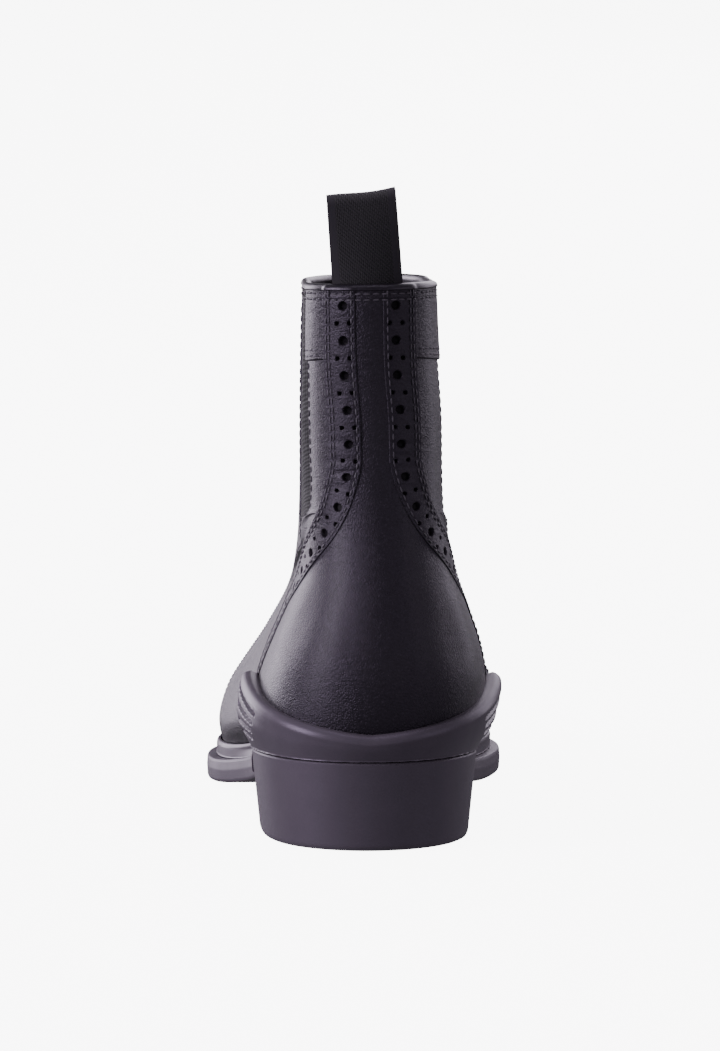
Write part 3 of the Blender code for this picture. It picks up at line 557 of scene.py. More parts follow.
class Face:
    """The upper's outer face, as even tables of points and normals over level and distance round."""

    def __init__(self):
        spare = 3
        step = math.pi / (TURN_SAMPLES - 1)
        turns = np.arange(-TURN_SAMPLES + 1 - spare, TURN_SAMPLES + spare) * step
        levels = np.linspace(0.0, TOP_LEVEL, LEVEL_SAMPLES)
        points = np.array([ring_points(level, turns) for level in levels])
        normals = np.cross(np.gradient(points, axis=1), np.gradient(points, axis=0))
        normals /= np.linalg.norm(normals, axis=-1, keepdims=True)
        middle = TURN_SAMPLES - 1 + spare
        self.turns = np.linspace(0.0, math.pi, TURN_SAMPLES)
        self.points = np.empty((2, LEVEL_SAMPLES, ARC_SAMPLES, 3))
        self.normals = np.empty_like(self.points)
        self.girths = np.empty((2, LEVEL_SAMPLES))
        self.arcs = np.empty((2, LEVEL_SAMPLES, TURN_SAMPLES))
        even = np.linspace(0.0, 1.0, ARC_SAMPLES)
        for side, order in ((0, -1), (1, 1)):
            half = np.arange(middle, middle + order * TURN_SAMPLES, order)
            for k in range(LEVEL_SAMPLES):
                line, facing = points[k, half], normals[k, half]
                arcs = run_length(line)
                self.girths[side, k] = arcs[-1]
                self.arcs[side, k] = arcs
                self.points[side, k] = along_line(even, arcs / arcs[-1], line)
                self.normals[side, k] = along_line(even, arcs / arcs[-1], facing)
        # The solids are centred over the frame's origin, and these tables follow them.
        low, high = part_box("upper")
        solid_turns = np.linspace(0.0, 2 * math.pi, SOLID_COLUMNS, endpoint=False)
        solid_levels = np.linspace(0.0, TOP_LEVEL, SOLID_ROWS)
        corners = np.concatenate([ring_points(level, solid_turns) for level in solid_levels])
        mine = (corners.min(axis=0) + corners.max(axis=0)) / 2
        theirs = (np.array(low) + np.array(high)) / 2
        self.shift = np.array([theirs[0] - mine[0], theirs[1] - mine[1], 0.0])

    def girth(self, level, side):
        """Distance from the back of a ring to its front, on one side."""
        row = np.asarray(level, float) / TOP_LEVEL * (LEVEL_SAMPLES - 1)
        return np.interp(row, np.arange(LEVEL_SAMPLES), self.girths[1 if side > 0 else 0])

    def read(self, table, level, arc):
        """Values of a table at levels and signed distances round."""
        level, arc = np.broadcast_arrays(np.asarray(level, float), np.asarray(arc, float))
        row = np.clip(level / TOP_LEVEL * (LEVEL_SAMPLES - 1), 0.0, LEVEL_SAMPLES - INSIDE_TABLE)
        low = row.astype(int)
        side = (arc >= 0).astype(int)
        total = 0.0
        for k, weight in ((low, 1.0 - (row - low)), (low + 1, row - low)):
            column = np.clip(np.abs(arc) / self.girths[side, k], 0.0, 1.0) * (ARC_SAMPLES - INSIDE_TABLE)
            j = column.astype(int)
            part = (column - j)[..., None]
            value = table[side, k, j] * (1.0 - part) + table[side, k, j + 1] * part
            total = total + value * weight[..., None]
        return total

    def folds(self, points):
        """How far the leather stands off the face in its soft folds."""
        rise = np.zeros(points.shape[:-1])
        for line, width, depth in self.fold_lines:
            along = line[-1] - line[0]
            share = np.clip(((points - line[0]) @ along) / (along @ along), 0.0, 1.0)
            nearest = along_line(share, np.linspace(0, 1, len(line)), line)
            near = np.linalg.norm(points - nearest, axis=-1) / width
            fade = np.sin(math.pi * np.clip(share, FOLD_END, 1.0 - FOLD_END)) ** FOLD_FADE
            rise += depth * np.exp(-near * near) * fade
        return rise

    def make_folds(self):
        """The fold lines, as short runs of points on the face."""
        self.fold_lines = []
        for side, low, start, high, end, width, depth in FOLDS:
            shares = np.linspace(0.0, 1.0, FOLD_POINTS)
            levels = blend(low, high, shares)
            arcs = side * blend(start, end, shares) * self.girth(levels, side)
            line = self.read(self.points, levels, arcs) + self.shift
            self.fold_lines.append((line, width, depth))

    def place(self, level, arc, lift=0.0, folds=True):
        """Points lifted off the face, with its soft folds."""
        points = self.read(self.points, level, arc) + self.shift
        rise = self.folds(points) if folds else 0.0
        return points + self.facing(level, arc) * (np.asarray(lift) + rise)[..., None]

    def facing(self, level, arc):
        """Unit normals of the face."""
        facing = self.read(self.normals, level, arc)
        return facing / np.linalg.norm(facing, axis=-1, keepdims=True)

    def arc_at_turn(self, level, turn):
        """Signed distance round at a turn of one ring."""
        row = float(level) / TOP_LEVEL * (LEVEL_SAMPLES - 1)
        low = min(int(row), LEVEL_SAMPLES - 2)
        turn = np.asarray(turn, float)
        out = np.zeros_like(turn)
        for side, sign in ((1, 1), (0, -1)):
            table = blend(self.arcs[side, low], self.arcs[side, low + 1], row - low)
            chosen = turn >= 0 if sign > 0 else turn < 0
            out[chosen] = sign * np.interp(np.abs(turn[chosen]), self.turns, table)
        return out

    def level_size(self, level, arc):
        """Real distance that one unit of level spans."""
        low, high = (np.clip(level + step, 0.0, TOP_LEVEL) for step in (-LEVEL_STEP, LEVEL_STEP))
        gap = self.read(self.points, high, arc) - self.read(self.points, low, arc)
        return np.linalg.norm(gap, axis=-1) / (high - low)


FACE = Face()
FACE.make_folds()


class BootShape(bpy.types.PropertyGroup):
    """Sizes of the finer pieces."""

    stitch_pitch: bpy.props.FloatProperty(
        name="Stitch pitch", description="Distance from one stitch to the next", default=0.0027,
        unit="LENGTH")
    stitch_length: bpy.props.FloatProperty(
        name="Stitch length", description="Visible length of one stitch", default=0.0021, unit="LENGTH")
    stitch_width: bpy.props.FloatProperty(
        name="Thread width", description="Thickness of the thread", default=0.00055, unit="LENGTH")
    hole_pitch: bpy.props.FloatProperty(
        name="Punch pitch", description="Distance between large holes", default=0.0105, unit="LENGTH")
    large_hole: bpy.props.FloatProperty(
        name="Large hole", description="Diameter of a large hole", default=0.0025, unit="LENGTH")
    small_hole: bpy.props.FloatProperty(
        name="Small hole", description="Diameter of a small hole", default=0.0011, unit="LENGTH")
    rib_pitch: bpy.props.FloatProperty(
        name="Rib pitch", description="Distance between the elastic's ribs", default=0.0015, unit="LENGTH")
    loop_width: bpy.props.FloatProperty(
        name="Loop width", description="Width of the pull loop's web", default=0.0207, unit="LENGTH")
    slot_width: bpy.props.FloatProperty(
        name="Slot width", description="Width of the slots in the wings", default=0.0013, unit="LENGTH")


class BootColours(bpy.types.PropertyGroup):
    """Colours of the materials."""

    leather: bpy.props.FloatVectorProperty(
        name="Leather", description="Colour of the leather", subtype="COLOR",
        default=(0.0085, 0.0068, 0.0098))
    rubber: bpy.props.FloatVectorProperty(
        name="Rubber", description="Colour of the rubber", subtype="COLOR", default=(0.098, 0.084, 0.106))
    elastic: bpy.props.FloatVectorProperty(
        name="Elastic", description="Colour of the gores", subtype="COLOR", default=(0.013, 0.012, 0.015))
    webbing: bpy.props.FloatVectorProperty(
        name="Webbing", description="Colour of the pull loop", subtype="COLOR",
        default=(0.0110, 0.0080, 0.0135))
    thread: bpy.props.FloatVectorProperty(
        name="Thread", description="Colour of the thread", subtype="COLOR", default=(0.090, 0.078, 0.100))
    lining: bpy.props.FloatVectorProperty(
        name="Lining", description="Colour of the lining", subtype="COLOR", default=(0.024, 0.022, 0.024))


def shape():
    """The boot's finer sizes."""
    return bpy.context.scene.boot_shape


def colours():
    """The boot's colours."""
    return bpy.context.scene.boot_colours


class Finish:
    """A Principled material that is built up node by node."""

    def __init__(self, name):
        self.material = bpy.data.materials.new(name)
        self.material.use_nodes = True
        self.tree = self.material.node_tree
        self.shader = self.tree.nodes["Principled BSDF"]

    def fill(self, node, inputs):
        """Links the inputs that are given as sockets, and sets the others."""
        for key, value in inputs.items():
            if isinstance(value, bpy.types.NodeSocket):
                self.tree.links.new(value, node.inputs[key])
            else:
                node.inputs[key].default_value = value

    def add(self, kind, inputs=None, out=0, **settings):
        """Adds a node with its settings and inputs, and returns one of its outputs."""
        node = self.tree.nodes.new("ShaderNode" + kind)
        for key, value in settings.items():
            setattr(node, key, value)
        self.fill(node, inputs or {})
        return node.outputs[out]

    def own_place(self):
        """The piece's own coordinates."""
        return self.add("TexCoord", out="Object")

    def noise(self, place, scale, detail, **more):
        """Noise from 0 to 1."""
        return self.add("TexNoise", {"Vector": place, "Scale": scale, "Detail": detail, **more}, "Fac")

    def math(self, operation, *inputs):
        """The result of one step of reckoning with sockets and numbers."""
        return self.add("Math", dict(enumerate(inputs)), operation=operation)

    def mix(self, kind, factor, low, high):
        """A mix of two numbers or of two colours."""
        first, second, out = (2, 3, 0) if kind == "FLOAT" else (6, 7, 2)
        return self.add("Mix", {0: factor, first: low, second: high}, out, data_type=kind)

    def spread(self, source, low, high):
        """Maps a 0 to 1 value on to a range."""
        return self.add("MapRange", {"Value": source, "To Min": low, "To Max": high}, "Result")

    def tint(self, colour, factor, amount):
        """The colour, lighter and darker where factor is high and low."""
        dark, light = (tuple(c * (1.0 + part) for c in colour) + (1.0,) for part in (-amount, amount))
        return self.mix("RGBA", factor, dark, light)

    def bump(self, height, strength, depth):
        """Tilts the surface by a height."""
        tilt = self.add("Bump", {"Strength": strength, "Distance": depth, "Height": height})
        self.fill(self.shader, {"Normal": tilt})


def leather_material(name, grain=1900.0, depth=0.00022, rough=(0.34, 0.47), coat=0.10, shaded_holes=False,
                     crease=0.7):
    """Pebbled black leather with a soft polish. With its holes flag set, it paints shade into the punched
    holes that a piece marks: near black and fully rough there.
    """
    finish = Finish(name)
    where = finish.own_place()
    pebbles = finish.add("TexVoronoi", {"Vector": where, "Scale": grain, "Smoothness": 0.35,
                                        "Randomness": 1.0}, "Distance", feature="SMOOTH_F1")
    fine = finish.noise(where, grain * 1.6, 3.0)
    wide = finish.noise(where, 26.0, 4.0, Roughness=0.6)
    drawn = finish.add("Mapping", {"Scale": (1.0, 1.0, 2.6), "Vector": where})
    pull = finish.noise(drawn, 210.0, 3.0, Distortion=0.9)
    hide = finish.math("MULTIPLY_ADD", pebbles, -0.9, fine)
    finish.bump(finish.math("MULTIPLY_ADD", pull, crease, hide), 0.75, depth)
    colour = finish.tint(colours().leather, wide, 0.35)
    gloss = finish.spread(wide, rough[1], rough[0])
    # Painted shade: inside the marked punched holes the leather turns near black and fully rough.
    if shaded_holes:
        mark = finish.add("Attribute", None, "Fac", attribute_name="hole_shade")
        colour = finish.mix("RGBA", mark, colour, HOLE_SHADE_COLOUR)
        gloss = finish.mix("FLOAT", mark, gloss, 1.0)
    finish.fill(finish.shader, {
        "Base Color": colour, "Roughness": gloss, "Coat Weight": coat, "Coat Roughness": 0.30,
        "Specular IOR Level": 0.5, "Specular Tint": SHEEN_TINT})
    return finish.material


def rubber_material(name, rough=(0.30, 0.44), depth=0.00004):
    """Moulded rubber: faintly mottled, with a fine skin."""
    finish = Finish(name)
    where = finish.own_place()
    finish.bump(finish.noise(where, 900.0, 5.0, Roughness=0.65), 0.5, depth)
    cloud = finish.noise(where, 32.0, 5.0, Roughness=0.65)
    finish.fill(finish.shader, {
        "Base Color": finish.tint(colours().rubber, cloud, 0.30),
        "Roughness": finish.spread(cloud, rough[1], rough[0]),
        "Specular IOR Level": 0.45, "Specular Tint": SHEEN_TINT})
    return finish.material


def woven_material(name, colour, run, cross, depth, diagonal, border=0.0):
    """Woven cloth in the piece's own UV map, whose units are metres across and along.

    diagonal skews the weave into a twill. border is the width of a plain, smoother edge on each side, whose
    colour is painted at its lightest as a painted sheen. The weave's colour is painted shade: darker in its
    grooves, lighter on its ridges.
    """
    finish = Finish(name)
    place = finish.add("UVMap", None, "UV", uv_map="UVMap")
    across = finish.add("SeparateXYZ", {"Vector": place}, "X")
    skew = finish.math("MULTIPLY_ADD", across, diagonal, across.node.outputs["Y"])
    waves = []
    for source, pitch in ((skew, run), (across, cross)):
        waves.append(finish.math("SINE", finish.math("MULTIPLY", source, 2 * math.pi / pitch)))
    both = finish.math("MULTIPLY_ADD", waves[1], 0.35, waves[0])
    fuzz = finish.noise(place, 2600.0, 3.0)
    height = finish.math("MULTIPLY_ADD", fuzz, 0.8, both)
    # Painted shade: the weave's colour is darker in its grooves and lighter on its ridges.
    painted_shade_and_sheen = finish.spread(both, 0.0, 1.0)
    if border:
        middle = finish.math("ABSOLUTE", across)
        edge = finish.math("GREATER_THAN", middle, shape().loop_width / 2 - border)
        height = finish.mix("FLOAT", edge, height, finish.math("MULTIPLY", fuzz, 0.35))
        # Painted sheen: the plain border takes the lightest colour.
        painted_shade_and_sheen = finish.mix("FLOAT", edge, painted_shade_and_sheen, 2.2)
    finish.bump(height, 0.9, depth)
    finish.fill(finish.shader, {"Base Color": finish.tint(colour, painted_shade_and_sheen, 0.45), "Roughness": 0.72,
                                "Sheen Weight": 0.25, "Sheen Roughness": 0.5})
    return finish.material


def plain_material(name, colour, rough, scale, depth):
    """Cloth or thread with a fine fuzz."""
    finish = Finish(name)
    fuzz = finish.noise(finish.own_place(), scale, 4.0)
    finish.bump(fuzz, 0.7, depth)
    finish.fill(finish.shader, {"Base Color": finish.tint(colour, fuzz, 0.4), "Roughness": rough})
    return finish.material


def finish_named(name):
    """A material by its name, made the first time that a piece asks for it."""
    known = bpy.data.materials.get(name)
    if known is not None:
        return known
    paint = colours()
    maker, sizes = {
        "vamp_leather": (leather_material, {}),
        "polished_counter_leather": (leather_material, dict(
            grain=2000.0, depth=0.00024, rough=(0.31, 0.42), coat=0.14, crease=0.3)),
        # The punched leather paints shade into its holes.
        "punched_leather": (leather_material, dict(
            grain=2100.0, depth=0.00018, rough=(0.36, 0.48), coat=0.08, shaded_holes=True, crease=2.2)),
        "binding_leather": (leather_material, dict(
            grain=2300.0, depth=0.00008, rough=(0.28, 0.40), coat=0.25)),
        "satin_rubber": (rubber_material, {}),
        "sole_rubber": (rubber_material, dict(rough=(0.38, 0.54), depth=0.00006)),
        "ribbed_elastic": (woven_material, dict(
            colour=paint.elastic, run=0.0007, cross=0.0015, depth=0.00008, diagonal=0.0)),
        "twill_webbing": (woven_material, dict(
            colour=paint.webbing, run=0.00125, cross=0.00055, depth=0.00012, diagonal=1.0, border=0.0024)),
        "sewing_thread": (plain_material, dict(
            colour=paint.thread, rough=0.55, scale=4000.0, depth=0.00004)),
        "lining_cloth": (plain_material, dict(
            colour=paint.lining, rough=0.9, scale=2200.0, depth=0.00008)),
    }[name]
    return maker(name, **sizes)


def deselect():
    """Leaves nothing selected, so that an operator acts on its own piece alone."""
    bpy.ops.object.select_all(action="DESELECT")


def choose(piece):
    """Makes a piece the only one selected, and active."""
    deselect()
    piece.select_set(True)
    bpy.context.view_layer.objects.active = piece


def add_grid(name):
    """A grid to be shaped, with the share of the way across and up of each of its corners."""
    deselect()
    columns, rows = GRIDS[name.removesuffix("_inner").removesuffix("_outer")]
    bpy.ops.mesh.primitive_grid_add(x_subdivisions=columns, y_subdivisions=rows, size=1.0, calc_uvs=True)
    piece = bpy.context.object
    piece.name = name
    piece.data.name = name
    flat = np.empty(len(piece.data.vertices) * 3)
    piece.data.vertices.foreach_get("co", flat)
    flat = flat.reshape(-1, 3)
    return piece, flat[:, 0] + 0.5, flat[:, 1] + 0.5


def set_points(piece, points):
    """Moves a piece's corners to their places."""
    piece.data.vertices.foreach_set("co", np.ascontiguousarray(points, dtype=np.float32).ravel())
    piece.data.update()


def set_cloth_map(piece, across, along):
    """Writes the UV map in metres across and along the cloth."""
    count = len(piece.data.loops)
    corners = np.empty(count, dtype=np.int32)
    piece.data.loops.foreach_get("vertex_index", corners)
    flat = np.stack([across[corners], along[corners]], axis=-1)
    piece.data.uv_layers["UVMap"].data.foreach_set("uv", flat.astype(np.float32).ravel())


def set_mark(piece, name, values):
    """Writes a value for each corner of a piece."""
    mark = piece.data.attributes.new(name, "FLOAT", "POINT")
    mark.data.foreach_set("value", values.astype(np.float32))


def apply_modifier(piece, kind, **settings):
    """Adds a modifier with its settings and applies it."""
    choose(piece)
    bpy.ops.object.modifier_add(type=kind)
    modifier = piece.modifiers[-1]
    for key, value in settings.items():
        setattr(modifier, key, value)
    bpy.ops.object.modifier_apply(modifier=modifier.name)


def in_edit_mode(piece, work):
    """Runs work on a piece in edit mode, with all of it selected."""
    choose(piece)
    bpy.ops.object.mode_set(mode="EDIT")
    bpy.ops.mesh.select_all(action="SELECT")
    work()
    bpy.ops.object.mode_set(mode="OBJECT")


def close_seams(piece, open_end=False, outwards=True):
    """Joins corners that meet. It can also fill an open end, and turn all faces outwards."""

    def work():
        bpy.ops.mesh.remove_doubles(threshold=WELD)
        bpy.ops.mesh.dissolve_degenerate(threshold=WELD / 2)
        if open_end:
            bpy.ops.mesh.select_all(action="DESELECT")
            bpy.ops.mesh.select_non_manifold()
            bpy.ops.mesh.edge_face_add()
        if outwards:
            bpy.ops.mesh.select_all(action="SELECT")
            bpy.ops.mesh.normals_make_consistent(inside=False)

    in_edit_mode(piece, work)


def hand_over(piece, finish, replaced=()):
    """Gives a finished piece its material, smooth shading and place in the frame."""
    piece.data.materials.clear()
    piece.data.materials.append(finish_named(finish))
    choose(piece)
    bpy.ops.object.shade_smooth_by_angle(angle=SMOOTH_ANGLE)
    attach(piece, "root")
    if replaced:
        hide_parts(*replaced)


def shoulder(distance, top, foot=EDGE_FOOT):
    """Lift of a piece near its edge, where it rounds down from top to foot."""
    inward = np.clip(distance / EDGE_TURN, 0.0, 1.0)
    return foot + (top - foot) * np.sqrt(1.0 - (1.0 - inward) ** 2)


def finish_sheet(piece, across, along, wall, finish, replaced=(), closed=False):
    """Gives a laid sheet its cloth map, its wall inwards and its material."""
    set_cloth_map(piece, across, along)
    if closed:
        close_seams(piece, outwards=False)
    apply_modifier(piece, "SOLIDIFY", thickness=wall, offset=-1.0, use_even_offset=False)
    hand_over(piece, finish, replaced)


def lay_on_sides(name, course, wall, finish, replaced):
    """Makes a sheet on each side of the upper. course gives its levels, distances round and lifts."""
    for side in (1, -1):
        piece, u, v = add_grid(f"{name}_{side_name(side)}")
        level, arc, lift = course(u if side > 0 else 1.0 - u, v, side)
        set_points(piece, FACE.place(level, side * arc, lift))
        finish_sheet(piece, arc, level * CLOTH_LEVEL, wall, finish, [replaced.format(side_name(side))])


def side_name(side):
    """Word for a side of the foot."""
    return "inner" if side > 0 else "outer"


def counter_reach(level):
    """Distance round from the back to the counter's front edge."""
    levels, shares = np.array(COUNTER_EDGE).T
    return np.maximum(STRIP_HALF + GAP, curve_through(levels, shares, level) * WING_REACH)


def gore_bounds(level, side):
    """Distances round of a gore's rear and front edges."""
    level = np.clip(level, GORE_FOOT_LEVEL, TOP_LEVEL)
    share = (level - GORE_FOOT_LEVEL) / (TOP_LEVEL - GORE_FOOT_LEVEL)
    rear = np.where(np.asarray(side) > 0, GORE_REAR_INNER, GORE_REAR_OUTER)
    front = blend(GORE_FRONT_FOOT, GORE_FRONT_TOP, share)
    depth = np.clip((level - GORE_FOOT_LEVEL) / GORE_CORNER, 0.0, 1.0)
    half = (front - rear) / 2 * blend(GORE_FOOT_SHARE, 1.0, np.sqrt(1.0 - (1.0 - depth) ** 2))
    middle = (rear + front) / 2
    return middle - half, middle + half


def rand_level(station):
    """Level of the rand's upper edge at a station round the sole."""
    station = np.asarray(station, float)
    cup = blend(CUP_LEVEL, WING_LEVEL, np.clip(station / WING_REACH, 0.0, 1.0) ** WING_RISE)
    past = np.clip((station - WING_REACH) / WING_FRONT, 0.0, 1.0)
    front = blend(FORE_LIP_LEVEL, WING_LEVEL, np.sqrt(1.0 - past * past))
    return np.where(station <= WING_REACH, cup, front)


def rand_wall(station):
    """Thickness of the rand beside the upper."""
    past = (station - WING_REACH - WING_FRONT * WING_END_SHARE) / WALL_EASE
    return blend(RAND_HEEL_WALL, RAND_FORE_WALL, ease(past))


def rand_arc(station, level, side):
    """Distance round at a level for a station named by its distance round the ring above the feather."""
    girth = FACE.girth(1.0, 1)
    return station + (FACE.girth(level, side) - girth) * (station / girth) ** 3


def rand_margin(y):
    """How far the rand's lower edge stands outside the feather edge."""
    return blend(HEEL_EDGE, FOREPART_EDGE, ease((y - HEEL_LENGTH) / (LEDGE_FULL - HEEL_LENGTH)))


def ledge(y):
    """Width of the step that the outsole leaves outside the rand."""
    return LEDGE_WIDTH * ease((y - LEDGE_START) / (LEDGE_FULL - LEDGE_START))


def outsole_top(y):
    """Height of the joint between the rand and what lies under it."""
    return seat_height(y) - MIDSOLE_THICKNESS


def at(rule, y):
    """A size that a rule works out at y, or that is the same number everywhere."""
    return rule(y) if callable(rule) else np.full_like(y, rule)


def lowered(rule, by):
    """A rule whose sizes are less by a length."""
    return lambda y: at(rule, y) - by


def edge_points(station, side, margin, height):
    """Points of the sole, a margin outside the feather edge. margin and height are rules or numbers."""
    arc = side * rand_arc(station, 0.0, side)
    point = FACE.read(FACE.points, 0.0, arc)
    nudge = 0.0006
    before = FACE.read(FACE.points, 0.0, side * np.clip(np.abs(arc) - nudge, 0.0, None))
    after = FACE.read(FACE.points, 0.0, side * (np.abs(arc) + nudge))
    along = (after - before) * side
    at_back = np.abs(arc) < nudge
    at_front = np.abs(arc) > FACE.girth(0.0, side) - nudge
    out = np.stack([along[..., 1], -along[..., 0], np.zeros_like(arc)], axis=-1)
    out /= np.linalg.norm(out, axis=-1, keepdims=True)
    out[at_back] = (0.0, -1.0, 0.0)
    out[at_front] = (0.0, 1.0, 0.0)
    y = point[..., 1]
    placed = point + out * at(margin, y)[..., None]
    placed[..., 2] = at(height, placed[..., 1])
    return placed + FACE.shift


def both_girths(level, arc):
    """Half girth of a ring on the side that arc lies on."""
    return np.where(np.asarray(arc) < 0, FACE.girth(level, -1), FACE.girth(level, 1))


def quarter_edge(level, side):
    """Distance round from the back to the quarter's front edge, at the gore and over the vamp."""
    levels, shares = np.array(QUARTER_EDGE).T
    below = curve_through(levels, shares, level) * FACE.girth(level, 1)
    rear = gore_bounds(level, side)[0]
    return blend(below, rear, ease((level - GORE_FOOT_LEVEL + GORE_BLEND) / GORE_BLEND))


def beyond_gore(level, arc):
    """Real distance outside a gore's outline, below nothing inside it."""
    rear, front = gore_bounds(level, arc)
    arc = np.abs(arc)
    under = (GORE_FOOT_LEVEL - level) * FACE.level_size(np.full_like(arc, GORE_FOOT_LEVEL), arc)
    return np.maximum(np.maximum(rear - arc, arc - front), under)


def collar_furrows(below):
    """How deep the two rows of sewing under the collar's rim pull the leather in."""
    return sum(furrow(below - row) for row in COLLAR_SEAMS)


def drift(level):
    """How far the back strip and its bands wander round the back near the collar."""
    return BACK_DRIFT * ease((level - DRIFT_FROM) / DRIFT_RUN)


def room_to_collar(level, arc):
    """Real distance from a place on the upper up to the collar's edge."""
    return (TOP_LEVEL - level) * FACE.level_size(level, arc)


class LiningPiece(bpy.types.Operator):
    """Makes the lining, which closes the inside of the boot."""

    bl_idname = "boot.lining"
    bl_label = "Lining"

    def execute(self, context):
        piece, u, v = add_grid("upper_lining")
        level = v * TOP_LEVEL
        signed = 2.0 * u - 1.0
        arc = signed * both_girths(level, signed)
        set_points(piece, FACE.place(level, arc, LINING_LIFT, folds=False))
        finish_sheet(piece, arc, level * CLOTH_LEVEL, UPPER_WALL + LINING_LIFT, "lining_cloth",
                     ["upper"], closed=True)
        return {"FINISHED"}


class VampPiece(bpy.types.Operator):
    """Makes the vamp, which covers the toes and instep and rises between the gores."""

    bl_idname = "boot.vamp"
    bl_label = "Vamp"

    def execute(self, context):
        piece, u, v = add_grid("vamp")
        levels = (VAMP_FOOT, GORE_FOOT_LEVEL - GORE_BLEND, GORE_FOOT_LEVEL, TOP_LEVEL)
        level = np.interp(v, VAMP_ROWS, levels)
        signed = 2.0 * u - 1.0
        side = np.where(signed < 0, 1.0, -1.0)
        under = quarter_edge(level, side) - VAMP_LAP
        front = gore_bounds(level, side)[1]
        rear = blend(under, front, ease((v - VAMP_ROWS[1]) / (VAMP_ROWS[2] - VAMP_ROWS[1])))
        # Columns crowd towards the rear edges, where the leather's edge turns.
        share = np.abs(signed)
        share = share + VAMP_CROWD * np.sin(math.pi * share)
        arc = side * blend(both_girths(level, side), rear, share)
        lift = shoulder(beyond_gore(level, arc), 0.0, DEEP_FOOT)
        set_points(piece, FACE.place(level, arc, lift))
        finish_sheet(piece, arc, level * CLOTH_LEVEL, VAMP_WALL, "vamp_leather", ["upper"])
        return {"FINISHED"}


class QuarterPieces(bpy.types.Operator):
    """Makes both quarters, which run from the back seam to the gores and lap over the vamp."""

    bl_idname = "boot.quarters"
    bl_label = "Quarters"

    def execute(self, context):
        lay_on_sides("quarter", self.course, QUARTER_WALL, "vamp_leather", "upper")
        return {"FINISHED"}

    @staticmethod
    def course(u, v, side):
        """Levels, distances round and lifts of a quarter."""
        level = np.interp(v, QUARTER_ROWS, QUARTER_LEVELS)
        edge = quarter_edge(level, side)
        arc = edge * (u + QUARTER_CROWD * np.sin(math.pi * u))
        under_gore = ease((GORE_FOOT_LEVEL - level) / LAP_LEVELS + 0.5)
        lap = ease((arc - edge + LAP_FROM) / LAP_RUN) * under_gore
        lift = shoulder(edge - arc, QUARTER_LIFT * lap, DEEP_FOOT)
        for inset in SEAM_INSETS:
            lift = lift - furrow(edge - arc - inset) * (level < GORE_FOOT_LEVEL)
        return level, arc, lift


class CounterPiece(bpy.types.Operator):
    """Makes the heel counter and the plain strip that runs from it up the back seam."""

    bl_idname = "boot.counter"
    bl_label = "Counter and back strip"

    def execute(self, context):
        piece, u, v = add_grid("heel_counter")
        foot = WING_LEVEL - COUNTER_SINK
        height = blend(foot, TOP_LEVEL, v ** COUNTER_CROWD)
        reach = counter_reach(np.maximum(height, COUNTER_EDGE[0][0])) + COUNTER_TUCK
        fade = np.clip((COUNTER_FADE_LEVEL - height) / (COUNTER_FADE_LEVEL - foot), 0.0, 1.0) ** 1.5
        arc = reach * (2.0 * u - 1.0)
        level = height - fade * (rand_level(reach) - rand_level(np.abs(arc)))
        lift = COUNTER_LIFT - collar_furrows(room_to_collar(level, arc))
        set_points(piece, FACE.place(level, arc + drift(level), lift))
        finish_sheet(piece, arc, level * CLOTH_LEVEL, COUNTER_WALL, "polished_counter_leather",
                     ["counter"])
        return {"FINISHED"}


def band_course(u, v, side):
    """Levels and distances round over a punched band, with the real distances across and along it."""
    heights = np.linspace(WING_LEVEL + BAND_START, TOP_LEVEL, BAND_STEPS)
    reach = counter_reach(heights)
    size = FACE.level_size(heights, side * reach)
    rise, run = np.gradient(heights) * size, np.gradient(reach)
    length = np.concatenate([[0.0], np.cumsum(np.hypot(rise, run)[1:])])
    # An even step along the band, smoothed where the line turns.
    along = length[-1] * v
    level_at = np.interp(along, length, heights)
    arc_at = np.interp(along, length, reach)
    size_at = np.interp(along, length, size)
    even = np.linspace(0.0, length[-1], BAND_STEPS)
    reach_out = int(BAND_EASE / even[1])
    window = np.ones(2 * reach_out + 1) / (2 * reach_out + 1)
    slopes = [np.interp(even, length, part / np.hypot(rise, run)) for part in (rise, run)]
    slopes = [np.convolve(np.pad(part, reach_out, mode="edge"), window, "valid") for part in slopes]
    rise_at, run_at = (np.interp(along, even, part / np.hypot(*slopes)) for part in slopes)
    across = blend(-BAND_TUCK, BAND_WIDTH, u)
    arc = arc_at + across * rise_at
    level = level_at - across * run_at / size_at
    # The foot of the band follows the rand's lip.
    drop = level - rand_level(arc) + BAND_SINK
    level = level - drop * np.clip(1.0 - along / BAND_FOOT_RUN, 0.0, 1.0) ** 1.5 * (drop > -1.0)
    return np.minimum(level, TOP_LEVEL), arc, across, length[-1] - along


def furrow(distance):
    """How deep a line of sewing pulls the leather in, at a distance from it."""
    return FURROW_DEPTH * np.exp(-(distance / FURROW_WIDTH) ** 2)


def punched(across, below_collar):
    """1 inside a band's punched holes and 0 outside them, with a short ramp between."""
    size = shape()
    marks = np.zeros_like(across)
    pitch = size.hole_pitch
    small = [(row, 0.5, size.small_hole) for row in SMALL_ROWS]
    for place, step, diameter in ((BIG_ROW, 0.0, size.large_hole), *small):
        turn = (below_collar - FIRST_HOLE) / pitch - step
        nearest = np.clip(np.round(turn), 0, None)
        off = (turn - nearest) * pitch
        inside = diameter / 2 - np.hypot(across - place, off)
        marks = np.maximum(marks, ease(inside / HOLE_RAMP + 0.5))
    return marks


